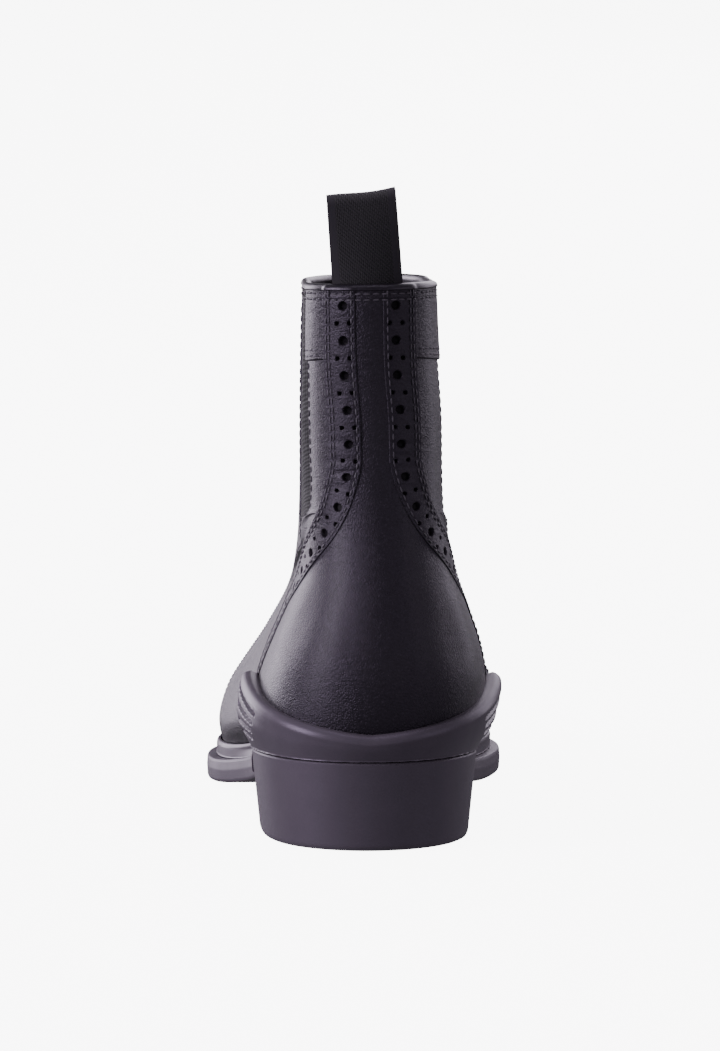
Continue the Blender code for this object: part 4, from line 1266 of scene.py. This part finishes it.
class BandPieces(bpy.types.Operator):
    """Makes the punched bands on both sides of the back strip."""

    bl_idname = "boot.bands"
    bl_label = "Punched bands"

    def execute(self, context):
        for side in (1, -1):
            piece, u, v = add_grid(f"band_{side_name(side)}")
            level, arc, across, below = band_course(u if side > 0 else 1.0 - u, v, side)
            edge = np.minimum(across + BAND_TUCK, BAND_WIDTH - across)
            marks = punched(across, below)
            lift = shoulder(edge, BAND_LIFT, COUNTER_LIFT + EDGE_FOOT)
            lift = lift - marks * HOLE_DEPTH - collar_furrows(below)
            for row in BAND_SEAMS:
                lift = lift - furrow(across - row)
            set_points(piece, FACE.place(level, side * arc + drift(level), lift))
            # The holes' marks also tell the material where to paint shade into them.
            set_mark(piece, "hole_shade", marks)
            finish_sheet(piece, across, below, BAND_WALL, "punched_leather",
                         [f"punched_band_{side_name(side)}"])
        return {"FINISHED"}


class FacingPieces(bpy.types.Operator):
    """Makes the facings under the collar, between the punched bands and the gores."""

    bl_idname = "boot.facings"
    bl_label = "Collar facings"

    def execute(self, context):
        lay_on_sides("facing", self.course, FACING_WALL, "punched_leather", "collar_facing_{}")
        return {"FINISHED"}

    @staticmethod
    def course(u, v, side):
        """Levels, distances round and lifts of a facing."""
        level = blend(FACING_LEVEL, TOP_LEVEL, v)
        far = gore_bounds(level, side)[0] - FACING_GAP
        arc = blend(STRIP_HALF + BAND_WIDTH - FACING_TUCK, far, u)
        edge = np.minimum(far - arc, (level - FACING_LEVEL) * FACE.level_size(level, arc))
        return level, arc, shoulder(edge, FACING_LIFT) - collar_furrows(room_to_collar(level, arc))


class ToeCapPiece(bpy.types.Operator):
    """Makes the toe cap."""

    bl_idname = "boot.toe_cap"
    bl_label = "Toe cap"

    def execute(self, context):
        piece, u, v = add_grid("toe_cap_leather")
        line = CAP_LINE * LAST_LENGTH
        levels = np.linspace(VAMP_FOOT, CAP_TOP_LEVEL, CAP_SAMPLES)
        rows = [ring_row(level) for level in levels]
        backs = np.array([row["y"] for row in rows])
        lengths = np.array([row["length"] for row in rows])
        top = float(np.interp(-line, -(backs + lengths)[CAP_SKIP:], levels[CAP_SKIP:]))
        level = top - (top - VAMP_FOOT) * (1.0 - v) ** CAP_CROWD
        share = (line - np.interp(level, levels, backs)) / np.interp(level, levels, lengths)
        opening = math.pi - np.arccos(1.0 - 2.0 * np.clip(share, 0.0, CAP_SHARE_END))
        turn = (2.0 * u - 1.0) * opening
        arc = np.empty_like(turn)
        for height in np.unique(level):
            row = level == height
            around = np.where(turn[row] < 0, turn[row] + math.pi, turn[row] - math.pi)
            arc[row] = FACE.arc_at_turn(height, around)
        points = FACE.place(level, arc, 0.0)
        back = points[:, 1] - FACE.shift[1] - line
        lift = shoulder(back, CAP_LIFT)
        for inset in SEAM_INSETS:
            lift = lift - furrow(back - inset)
        set_points(piece, FACE.place(level, arc, lift))
        finish_sheet(piece, arc, level * CLOTH_LEVEL, CAP_WALL, "polished_counter_leather",
                     ["toe_cap"], closed=True)
        return {"FINISHED"}


class GorePieces(bpy.types.Operator):
    """Makes the elastic gores, ribbed up and down."""

    bl_idname = "boot.gores"
    bl_label = "Elastic gores"

    def execute(self, context):
        lay_on_sides("gore_web", self.course, GORE_WALL, "ribbed_elastic", "gore_{}")
        return {"FINISHED"}

    @staticmethod
    def course(u, v, side):
        """Levels, distances round and lifts of a gore."""
        level = blend(GORE_FOOT_LEVEL - GORE_BELOW, TOP_LEVEL, v)
        rear, front = gore_bounds(level, side)
        arc = blend(rear - GORE_TUCK, front + GORE_TUCK, u)
        rib = np.sin(2.0 * math.pi * (arc - rear) / shape().rib_pitch)
        crimp = np.sin(2.0 * math.pi * level / CRIMP_LEVELS)
        return level, arc, GORE_LIFT + RIB_DEPTH * rib + CRIMP_DEPTH * crimp


def collar_top_lift(arc):
    """Lift of what lies outermost under the collar's binding, at a distance round from the back."""
    away = np.abs(arc - drift(TOP_LEVEL))
    strip = blend(COUNTER_LIFT, BAND_LIFT, ease((away - STRIP_HALF) / EDGE_TURN))
    band = blend(strip, FACING_LIFT, ease((away - STRIP_HALF - BAND_WIDTH) / STEP_RUN + 0.5))
    return blend(band, 0.0, ease((away - gore_bounds(TOP_LEVEL, arc)[0]) / STEP_RUN + 0.5))


class BindingPiece(bpy.types.Operator):
    """Makes the leather binding that is rolled over the collar's edge."""

    bl_idname = "boot.binding"
    bl_label = "Collar binding"

    def execute(self, context):
        piece, u, v = add_grid("collar_binding")
        signed = 2.0 * u - 1.0
        arc = signed * both_girths(TOP_LEVEL, signed)
        out = collar_top_lift(arc) + BINDING_PROUD
        inn = -UPPER_WALL - BINDING_UNDER
        middle, half = (out + inn) / 2, (out - inn) / 2
        down_out = np.clip((BINDING_OUT_SHARE - v) / BINDING_OUT_SHARE, 0.0, 1.0) * BINDING_HEIGHT
        down_in = np.clip((v - BINDING_IN_SHARE) / (1 - BINDING_IN_SHARE), 0.0, 1.0) * BINDING_INSIDE
        angle = np.clip((v - BINDING_OUT_SHARE) / (BINDING_IN_SHARE - BINDING_OUT_SHARE), 0.0, 1.0) * math.pi
        lift = middle + half * np.cos(angle)
        rise = np.sin(angle) * BINDING_ROUND
        size = FACE.level_size(np.full_like(arc, TOP_LEVEL), arc)
        level = TOP_LEVEL - (down_out + down_in) / size
        edge = np.where(v < 0.5, (BINDING_HEIGHT - down_out), (BINDING_INSIDE - down_in))
        lift = lift - np.sign(0.5 - v) * BINDING_TURN * (1.0 - ease(edge / BINDING_TURN_RUN))
        points = FACE.place(level, arc, lift, folds=False)
        points[:, 2] += rise
        set_points(piece, points)
        finish_sheet(piece, arc, v * BINDING_CLOTH, BINDING_WALL, "binding_leather", closed=True)
        return {"FINISHED"}


def loop_path():
    """Middle line of the pull loop's web, as offsets from the collar's inside and rises over its top."""
    near, far = LAY_GAP + LOOP_WEB / 2, LAY_GAP + 1.5 * LOOP_WEB + GAP
    bend = LOOP_GAP / 2
    top = LOOP_RISE - bend - LOOP_WEB / 2
    steps = np.linspace(0.0, 1.0, LOOP_STEPS)
    tucked = LOOP_TUCK * (1.0 - steps)
    rises = top * steps
    angle = math.pi * (1.0 - steps)
    front = near - LOOP_BACK + 2 * bend
    offs = [np.full(LOOP_STEPS, near), blend(near, near - LOOP_BACK, ease(steps)),
            near - LOOP_BACK + bend * (1 + np.cos(angle)),
            blend(far, front, ease(steps))[::-1], np.full(LOOP_STEPS, far)]
    highs = [-tucked, rises, top + bend * np.sin(angle), rises[::-1], -tucked[::-1]]
    return np.concatenate(offs), np.concatenate(highs)


class PullLoopPiece(bpy.types.Operator):
    """Makes the pull loop, one web folded at its top with both ends inside the collar."""

    bl_idname = "boot.pull_loop"
    bl_label = "Pull loop"

    def execute(self, context):
        piece, u, v = add_grid("pull_loop_web")
        offs, highs = loop_path()
        keep = np.concatenate([[True], np.hypot(np.diff(offs), np.diff(highs)) > SAME_PLACE])
        offs, highs = offs[keep], highs[keep]
        length = run_length(np.stack([offs, highs], axis=-1))
        along = v * length[-1]
        off, high = np.interp(along, length, offs), np.interp(along, length, highs)
        x_mid = FACE.place(TOP_LEVEL, 0.0)[0] + LOOP_SHIFT
        half = shape().loop_width / 2
        x = (2.0 * u - 1.0) * half
        size = float(FACE.level_size(TOP_LEVEL, 0.0))
        level = TOP_LEVEL + np.minimum(high, 0.0) / size
        wall = FACE.place(level, x_mid + x, -UPPER_WALL, folds=False)
        straight = FACE.place(level, np.zeros_like(x), -UPPER_WALL, folds=False)
        rise = np.maximum(high, 0.0)
        share = np.minimum(rise / LOOP_RISE, 1.0)
        y = blend(wall[:, 1], straight[:, 1], 1.0 - (1.0 - share) ** 2) + off
        # A worn web bellies a little, and its folded top is dented unevenly.
        belly = LOOP_BELLY * np.sin(math.pi * share) * (1.0 - (x / half) ** 2)
        dent = LOOP_DENT * np.sin(x / half * DENT_WAVE + DENT_SHIFT) * share ** 4
        z = blend(wall[:, 2], straight[:, 2], share) + rise + LOOP_SLANT * share * x / half - dent
        points = np.stack([x_mid + x - LOOP_LEAN * share, y - belly, z], axis=-1)
        set_points(piece, points)
        set_cloth_map(piece, x, along)
        apply_modifier(piece, "SOLIDIFY", thickness=LOOP_WEB, offset=0.0, use_even_offset=False)
        close_seams(piece)
        hand_over(piece, "twill_webbing", ["pull_loop"])
        return {"FINISHED"}


def wing_slots(station, climb, face_length):
    """How deep the slots of a wing lie at a station and a share of the way up the rand's outer face."""
    depth = np.zeros_like(station)
    for index in range(SLOT_COUNT):
        high = SLOT_TOP - SLOT_STEP * index
        front = WING_REACH + SLOT_FRONT * (1.0 - SLOT_TURN * (high / SLOT_TOP) ** 2)
        run = np.clip((front - station) / SLOT_RUN, 0.0, 1.0)
        across = (climb - high + SLOT_DROP * run) * face_length * SLOT_SLANT
        past = np.maximum(np.maximum(station - front, front - SLOT_RUN - station), 0.0)
        away = np.hypot(across, past)
        depth = np.maximum(depth, ease((shape().slot_width / 2 - away) / SLOT_EDGE + 0.5))
    return depth * SLOT_DEPTH


def ring_of_stations(u, reach, crowd=None):
    """Signed stations round the sole for shares across a grid, with the side of each."""
    signed = 2.0 * u - 1.0
    side = np.where(signed < 0, -1, 1)
    share = np.abs(signed)
    if crowd is not None:
        share = np.interp(share, *crowd)
    return share * reach, side


def by_side(side, station, work):
    """Runs work for the stations of each side, and puts the results together."""
    out = None
    for s in (1, -1):
        chosen = side == s
        part = work(s, chosen)
        if out is None:
            out = np.zeros((len(station), *part.shape[1:]))
        out[chosen] = part
    return out


def sole_mid(inner, outer, height):
    """Points midway between the sole's two edges, at a station on each side."""
    return (edge_points(inner, 1, 0.0, height) + edge_points(outer, -1, 0.0, height)) / 2


def stack(v, parts):
    """Points of parts that follow each other up a grid: each part's first and last share and points."""
    points = parts[0][2]
    for low, high, start, end in parts:
        share = np.clip((v - low) / (high - low), 0.0, 1.0)[:, None]
        points = np.where((v > low)[:, None], blend(start, end, share), points)
    return points


class RandPiece(bpy.types.Operator):
    """Makes the rand, whose wall rises into the heel cup and its slotted wings."""

    bl_idname = "boot.rand"
    bl_label = "Rand and heel cup"

    def execute(self, context):
        piece, u, v = add_grid("rand_rubber")
        toe = float(FACE.girth(1.0, 1))
        crowd = ((0.0, *RAND_CROWD, 1.0), (0.0, *(place / toe for place in RAND_CROWD_AT), 1.0))
        station, side = ring_of_stations(u, toe, crowd)

        def work(s, chosen):
            return self.one_side(station[chosen], v[chosen], s)

        set_points(piece, by_side(side, station, work))
        close_seams(piece)
        hand_over(piece, "satin_rubber", ["rand"])
        return {"FINISHED"}

    @staticmethod
    def one_side(station, v, side):
        """Points of the rand on one side: its foot, outer face, inside and deck."""
        level = rand_level(station)
        top, foot_height = lowered(seat_height, GAP), lowered(outsole_top, -GAP)
        foot = edge_points(station, side, rand_margin, foot_height)

        def beside(share, lift):
            arc = side * rand_arc(station, share * level, side)
            return FACE.place(share * level, arc, lift, folds=False)

        wall = rand_wall(station) + WING_SWELL * np.interp(station, SWELL_KNOTS, (0.0, 1.0, 1.0, 0.0))
        low = beside(FACE_TURN, LAY_GAP + wall)
        low_length = np.linalg.norm(foot - low, axis=-1)
        face_length = low_length + (SLOT_FACE_TOP - FACE_TURN) * level * LEVEL_RISE
        climb = np.clip((v - RAND_FACE_FROM) / (RAND_FACE_TO - RAND_FACE_FROM), 0.0, 1.0)
        climbed = np.where(climb < FACE_TURN, climb / FACE_TURN * low_length,
                           low_length + (climb - FACE_TURN) * level * LEVEL_RISE)
        press = wing_slots(station, climbed / face_length, face_length)
        lip = np.clip((1.0 - climb) * level * LEVEL_RISE / LIP_SWEEP, 0.0, 1.0)
        thick = blend(LIP_END, 1.0, np.sqrt(1.0 - (1.0 - lip) ** 2))
        upper_face = beside(climb, LAY_GAP + wall * thick - press)
        normal = FACE.facing(FACE_TURN * level, side * rand_arc(station, FACE_TURN * level, side))
        lower_face = blend(foot, low, (climb / FACE_TURN)[:, None]) - normal * press[:, None]
        turned = ease((climb - FACE_TURN) / FACE_BLEND / 2 + 0.5)[:, None]
        # A thin, ragged line of flash runs along the parting line at the foot.
        waves = np.sin(FLASH_WAVES[0] * station) * np.sin(FLASH_WAVES[1] * station + 1.0)
        ragged = 1.0 + FLASH_RAGGED * (waves - 1.0)
        flash = np.exp(-((climb - FLASH_PLACE) / FLASH_PLACE) ** 2) * FLASH_HEIGHT * ragged * (climb > 0)
        face = blend(lower_face, upper_face, turned) + normal * flash[:, None]
        inside, deck = beside(0.5, LAY_GAP), edge_points(station, side, LAY_GAP, top)
        return stack(v, (
            (0.0, RAND_FACE_FROM, sole_mid(station, station, foot_height), foot),
            (RAND_FACE_FROM, RAND_FACE_TO, face, face),
            (RAND_FACE_TO, RAND_INSIDE_TO, beside(1.0, LAY_GAP), inside),
            (RAND_INSIDE_TO, RAND_DECK_FROM, inside, deck),
            (RAND_DECK_FROM, 1.0, deck, sole_mid(station, station, top)),
        ))


def sole_block(name, profile, starts, reaches, crowd=None):
    """A block of the sole. profile holds (share up the section, margin, height) rows from foot to top.

    starts and reaches hold the first and last station round it, for the inner and the outer side. A row
    without a margin lies midway between the sides.
    """
    piece, u, v = add_grid(name)
    part_way, side = ring_of_stations(u, 1.0, crowd)

    def one_side(s, chosen):
        inner, outer = (blend(start, reach, part_way[chosen]) for start, reach in zip(starts, reaches))
        rows = []
        for _, margin, height in profile:
            if margin is None:
                rows.append(sole_mid(inner, outer, height))
            else:
                rows.append(edge_points(inner if s > 0 else outer, s, margin, height))
        places = [row[0] for row in profile]
        return stack(v[chosen], list(zip(places, places[1:], rows, rows[1:])))

    set_points(piece, by_side(side, part_way, one_side))
    return piece


def breast_station(side):
    """Station round the sole where the heel breast meets its edge."""
    tries = np.linspace(0.0, float(FACE.girth(1.0, 1)) / 2, BREAST_SAMPLES)
    ys = FACE.read(FACE.points, 0.0, side * rand_arc(tries, 0.0, side))[:, 1]
    return float(np.interp(HEEL_LENGTH, ys, tries))


def cut_channels(piece, rows, half):
    """Cuts tread channels across the underside at (y, floor height) rows."""
    cutters = []
    for y, floor in rows:
        deselect()
        bpy.ops.mesh.primitive_cube_add(size=1.0, location=(FACE.shift[0], y + FACE.shift[1], floor))
        cutter = bpy.context.object
        cutter.scale = (2 * half, TREAD_WIDTH, 2 * TREAD_DEPTH)
        cutters.append(cutter)
    deselect()
    for cutter in cutters:
        cutter.select_set(True)
    bpy.context.view_layer.objects.active = cutters[0]
    bpy.ops.object.join()
    tool = bpy.context.object
    bpy.ops.object.transform_apply(location=True, rotation=True, scale=True)
    apply_modifier(piece, "BOOLEAN", operation="DIFFERENCE", solver="EXACT", object=tool)
    bpy.data.objects.remove(tool)


class OutsolePiece(bpy.types.Operator):
    """Makes the forepart of the outsole, which stands out round the rand as a ledge."""

    bl_idname = "boot.outsole"
    bl_label = "Outsole"

    def execute(self, context):
        toe = float(FACE.girth(1.0, 1))
        starts = [breast_station(side) + BREAST_GAP for side in (1, -1)]

        def margin(y):
            return rand_margin(y) + ledge(y)

        knee = SOLE_ROUND * ROUND_KNEE
        foot = lowered(outsole_top, OUTSOLE_THICKNESS)
        profile = [
            (0.00, None, foot),
            (0.22, lowered(margin, SOLE_ROUND), foot),
            (0.26, lowered(margin, knee), lowered(foot, -knee)),
            (0.30, margin, lowered(foot, -SOLE_ROUND)),
            (0.46, lowered(margin, -SIDE_BULGE), lowered(foot, -SIDE_MIDDLE)),
            (0.62, margin, lowered(outsole_top, SOLE_ROUND)),
            (0.66, lowered(margin, knee), lowered(outsole_top, knee)),
            (0.70, lowered(margin, SOLE_ROUND), outsole_top),
            (1.00, None, outsole_top),
        ]
        piece = sole_block("outsole_rubber", profile, starts, (toe, toe))
        close_seams(piece, open_end=True)
        cut_channels(piece, self.channel_rows(), BALL_WIDTH / 2 - TREAD_BORDER)
        hand_over(piece, "sole_rubber", ["outsole"])
        return {"FINISHED"}

    def channel_rows(self):
        """Where the tread's channels lie, and the height of the underside there."""
        flat_from, flat_to = TREAD_FROM * LAST_LENGTH, TREAD_TO * LAST_LENGTH
        count = int((flat_to - flat_from) / TREAD_PITCH)
        ys = [blend(flat_from, flat_to, (i + 0.5) / count) for i in range(count)]
        return [(y, float(outsole_top(y)) - OUTSOLE_THICKNESS) for y in ys]


class HeelPiece(bpy.types.Operator):
    """Makes the heel block."""

    bl_idname = "boot.heel"
    bl_label = "Heel"

    def execute(self, context):
        reaches = [breast_station(side) - GAP for side in (1, -1)]
        foot_margin = HEEL_EDGE - HEEL_TAPER
        knee = HEEL_ROUND_BY * ROUND_KNEE
        profile = [
            (0.00, None, 0.0),
            (0.16, foot_margin - HEEL_ROUND_BY, 0.0),
            (0.20, foot_margin - knee, knee),
            (0.24, foot_margin, HEEL_ROUND_BY),
            (0.80, HEEL_EDGE, lowered(outsole_top, HEEL_TOP_ROUND)),
            (0.83, HEEL_EDGE - HEEL_TOP_INSET, outsole_top),
            (1.00, None, outsole_top),
        ]
        crowd = ((0.0, BREAST_FROM, 1.0), (0.0, 1.0, 1.0))
        piece = sole_block("heel_block", profile, (0.0, 0.0), reaches, crowd)
        self.hollow_breast(piece)
        close_seams(piece)
        rows = [(HEEL_LENGTH * share, 0.0) for share in HEEL_CHANNELS]
        cut_channels(piece, rows, HEEL_WIDTH / 2 - HEEL_BORDER)
        hand_over(piece, "sole_rubber", ["heel"])
        return {"FINISHED"}

    def hollow_breast(self, piece):
        """Draws the grid's last columns together to the breast's middle, set back from its edges."""
        count = len(piece.data.vertices)
        flat = np.empty(count * 3)
        piece.data.vertices.foreach_get("co", flat)
        points = flat.reshape(-1, 3)
        corners = np.empty(len(piece.data.loops), dtype=np.int32)
        piece.data.loops.foreach_get("vertex_index", corners)
        spots = np.empty(len(corners) * 2, dtype=np.float32)
        piece.data.uv_layers["UVMap"].data.foreach_get("uv", spots)
        u = np.empty(count)
        u[corners] = spots.reshape(-1, 2)[:, 0]
        closing = np.clip((np.abs(2.0 * u - 1.0) - BREAST_FROM) / (1.0 - BREAST_FROM), 0.0, 1.0)[:, None]
        rear = points[:, 1] > FACE.shift[1] + HEEL_LENGTH - BREAST_BAND
        middle = points.copy()
        middle[:, 0] = points[rear & (closing[:, 0] > BREAST_LAST), 0].mean()
        middle[:, 1] = FACE.shift[1] + HEEL_LENGTH - BREAST_CURVE
        set_points(piece, blend(points, middle, closing))


class InsolePiece(bpy.types.Operator):
    """Makes the insole."""

    bl_idname = "boot.insole"
    bl_label = "Insole"

    def execute(self, context):
        toe = float(FACE.girth(1.0, 1))
        inset = -(UPPER_WALL + 2 * GAP)
        foot, top = lowered(seat_height, -GAP / 2), lowered(seat_height, -INSOLE_THICKNESS)
        profile = [
            (0.0, None, foot),
            (0.3, inset - INSOLE_FOOT_INSET, foot),
            (0.5, inset, lowered(seat_height, -INSOLE_THICKNESS / 2)),
            (0.7, inset - INSOLE_TOP_INSET, top),
            (1.0, None, top),
        ]
        piece = sole_block("insole_board", profile, (0.0, 0.0), (toe, toe))
        close_seams(piece)
        hand_over(piece, "lining_cloth", ["insole"])
        return {"FINISHED"}


def sew(name, runs):
    """Makes rows of stitches. Each run holds points and normals along its line."""
    size = shape()
    centres, alongs, outs = [], [], []
    for points, normals in runs:
        length = run_length(points)
        count = max(1, int(length[-1] / size.stitch_pitch))
        places = (np.arange(count) + 0.5) * length[-1] / count
        ends = [along_line(places + reach, length, points) for reach in (-STITCH_REACH, STITCH_REACH)]
        along = ends[1] - ends[0]
        out = along_line(places, length, normals)
        centres.append(along_line(places, length, points))
        alongs.append(along / np.linalg.norm(along, axis=-1, keepdims=True))
        outs.append(out / np.linalg.norm(out, axis=-1, keepdims=True))
    centres, alongs, outs = (np.concatenate(part) for part in (centres, alongs, outs))
    across = np.cross(outs, alongs)
    deselect()
    bpy.ops.mesh.primitive_uv_sphere_add(segments=STITCH_SEGMENTS, ring_count=STITCH_RINGS, radius=0.5)
    piece = bpy.context.object
    piece.name = name
    piece.data.name = name
    one = np.array([v.co for v in piece.data.vertices])
    apply_modifier(piece, "ARRAY", count=len(centres), use_relative_offset=False,
                   use_constant_offset=True, constant_offset_displace=(0.0, 0.0, 2.0))
    grown = one * np.array([size.stitch_width, size.stitch_width * THREAD_FLAT, size.stitch_length])
    placed = (centres[:, None, :] + grown[None, :, 2:3] * alongs[:, None, :]
              + grown[None, :, 0:1] * across[:, None, :] + grown[None, :, 1:2] * outs[:, None, :])
    set_points(piece, placed.reshape(-1, 3))
    hand_over(piece, "sewing_thread")


class Stitching(bpy.types.Operator):
    """Sews the panels of the upper."""

    bl_idname = "boot.stitching"
    bl_label = "Stitching"

    def execute(self, context):
        share = np.linspace(0.0, 1.0, SEW_STEPS)
        bands, panels, collar = [], [], []

        def run(rows, level, arc, lift):
            level = level + 0.0 * share
            rows.append((FACE.place(level, arc, lift + THREAD_RIDE), FACE.facing(level, arc)))

        for side in (1, -1):
            for row in BAND_SEAMS:
                u = (row + BAND_TUCK) / (BAND_TUCK + BAND_WIDTH)
                level, arc = band_course(u + 0.0 * share, share, side)[:2]
                run(bands, level, side * arc + drift(level), BAND_LIFT)
            for inset in SEAM_INSETS:
                level = blend(QUARTER_SEAM_FROM, GORE_FOOT_LEVEL - QUARTER_SEAM_END, share)
                run(panels, level, side * (quarter_edge(level, side) - inset), QUARTER_LIFT)
                level = blend(GORE_FOOT_LEVEL + FRONT_SEAM_FROM, TOP_LEVEL - FRONT_SEAM_END, share)
                run(panels, level, side * (gore_bounds(level, side)[1] + inset), 0.0)
                rear, front = gore_bounds(GORE_FOOT_LEVEL, side)
                level = GORE_FOOT_LEVEL - inset / FOOT_SEAM_LEVEL
                run(panels, level, side * blend(rear, front, share), 0.0)
                level = FACING_LEVEL + inset / float(FACE.level_size(FACING_LEVEL, FACING_SEAM_AT))
                near = STRIP_HALF + BAND_WIDTH + FACING_SEAM_INSET[0]
                far = gore_bounds(FACING_LEVEL, side)[0] - FACING_SEAM_INSET[1]
                run(panels, level, side * blend(near, far, share), FACING_LIFT)
            level = blend(GORE_FOOT_LEVEL + REAR_SEAM_FROM, FACING_LEVEL, share)
            run(panels, level, side * (gore_bounds(level, side)[0] - GORE_SEAM), 0.0)
            for row in COLLAR_SEAMS:
                arc = side * float(FACE.girth(TOP_LEVEL, side)) * share
                level = TOP_LEVEL - row / FACE.level_size(TOP_LEVEL + 0.0 * share, arc)
                run(collar, level, arc, collar_top_lift(arc))
        sew("stitches_bands", bands)
        sew("stitches_panels", panels)
        sew("stitches_collar", collar)
        return {"FINISHED"}


class Studio(bpy.types.Operator):
    """Sets up the pale floor, the soft lights and the camera."""

    bl_idname = "boot.studio"
    bl_label = "Studio"

    def execute(self, context):
        self.lay_floor()
        world = bpy.data.worlds.new("studio")
        world.use_nodes = True
        sky = world.node_tree.nodes["Background"]
        sky.inputs["Color"].default_value = SKY_COLOUR
        sky.inputs["Strength"].default_value = SKY_STRENGTH
        context.scene.world = world
        for light in LIGHTS:
            self.add_light(*light)
        self.add_camera(context)
        return {"FINISHED"}

    def lay_floor(self):
        """A floor that turns up softly into a backdrop on every side."""
        piece, u, v = add_grid("studio_floor")
        x, y = (u - 0.5) * 2 * FLOOR_HALF, (v - 0.5) * 2 * FLOOR_HALF
        away = np.maximum(np.hypot(x, y) - FLOOR_FLAT, 0.0)
        set_points(piece, np.stack([x, y, -FLOOR_DROP + away ** 2 * FLOOR_CURVE], axis=-1))
        finish = Finish("white_sweep")
        gloss = finish.spread(finish.noise(finish.own_place(), 3.0, 2.0), 0.75, 0.85)
        finish.fill(finish.shader, {
            "Base Color": FLOOR_COLOUR, "Roughness": gloss, "Specular IOR Level": 0.2,
            "Emission Color": (1.0, 1.0, 1.0, 1.0), "Emission Strength": FLOOR_GLOW})
        piece.data.materials.clear()
        piece.data.materials.append(finish.material)
        choose(piece)
        bpy.ops.object.shade_smooth()
        piece.visible_diffuse = False
        piece.visible_glossy = False

    def add_light(self, name, place, target, size, power):
        """A rectangular soft light turned towards a target."""
        deselect()
        bpy.ops.object.light_add(type="AREA", location=place)
        lamp = bpy.context.object
        lamp.name = name
        lamp.data.shape = "RECTANGLE"
        lamp.data.size, lamp.data.size_y = size
        lamp.data.energy = power
        lamp.data.color = LAMP_COLOUR
        turn_towards(lamp, target)

    def add_camera(self, context):
        """The camera, low behind the heel."""
        deselect()
        cos_e, sin_e = math.cos(CAMERA_ELEVATION), math.sin(CAMERA_ELEVATION)
        ahead = (-math.sin(CAMERA_TURN) * cos_e, math.cos(CAMERA_TURN) * cos_e, -sin_e)
        place = [t - CAMERA_DISTANCE * a for t, a in zip(CAMERA_TARGET, ahead)]
        bpy.ops.object.camera_add(location=place)
        camera = bpy.context.object
        camera.name = "camera"
        camera.data.sensor_fit = "VERTICAL"
        camera.data.sensor_height = CAMERA_SENSOR
        camera.data.lens = CAMERA_FOCAL
        camera.data.clip_start = CAMERA_NEAR
        camera.data.dof.use_dof = False
        turn_towards(camera, CAMERA_TARGET)
        context.scene.camera = camera


def turn_towards(thing, target):
    """Turns a light or camera so that it faces a point, with its top up."""
    away = Vector(target) - thing.location
    thing.rotation_euler = away.to_track_quat("-Z", "Y").to_euler()


class BootPanel(bpy.types.Panel):
    """Lists the steps that make the boot."""

    bl_idname = "VIEW3D_PT_boot"
    bl_label = "Paddock boot"
    bl_space_type = "VIEW_3D"
    bl_region_type = "UI"
    bl_category = "Boot"

    def draw(self, context):
        for group in (context.scene.boot_shape, context.scene.boot_colours):
            box = self.layout.box()
            for name in group.bl_rna.properties.keys():
                if name not in ("rna_type", "name"):
                    box.prop(group, name)
        for step in STEPS:
            self.layout.operator(step.bl_idname)


STEPS = (
    LiningPiece, VampPiece, QuarterPieces, CounterPiece, BandPieces, FacingPieces, ToeCapPiece, GorePieces,
    BindingPiece, PullLoopPiece, RandPiece, OutsolePiece, HeelPiece, InsolePiece, Stitching, Studio,
)


def register():
    """Registers the sizes, steps and panel."""
    for kind in (BootShape, BootColours, *STEPS, BootPanel):
        bpy.utils.register_class(kind)
    bpy.types.Scene.boot_shape = bpy.props.PointerProperty(type=BootShape)
    bpy.types.Scene.boot_colours = bpy.props.PointerProperty(type=BootColours)


def unregister():
    """Takes the sizes, steps and panel away again."""
    del bpy.types.Scene.boot_colours
    del bpy.types.Scene.boot_shape
    for kind in reversed((BootShape, BootColours, *STEPS, BootPanel)):
        bpy.utils.unregister_class(kind)


def main():
    """Makes every piece."""
    register()
    for step in STEPS:
        group, name = step.bl_idname.split(".")
        getattr(getattr(bpy.ops, group), name)()


if __name__ == "__main__":
    main()
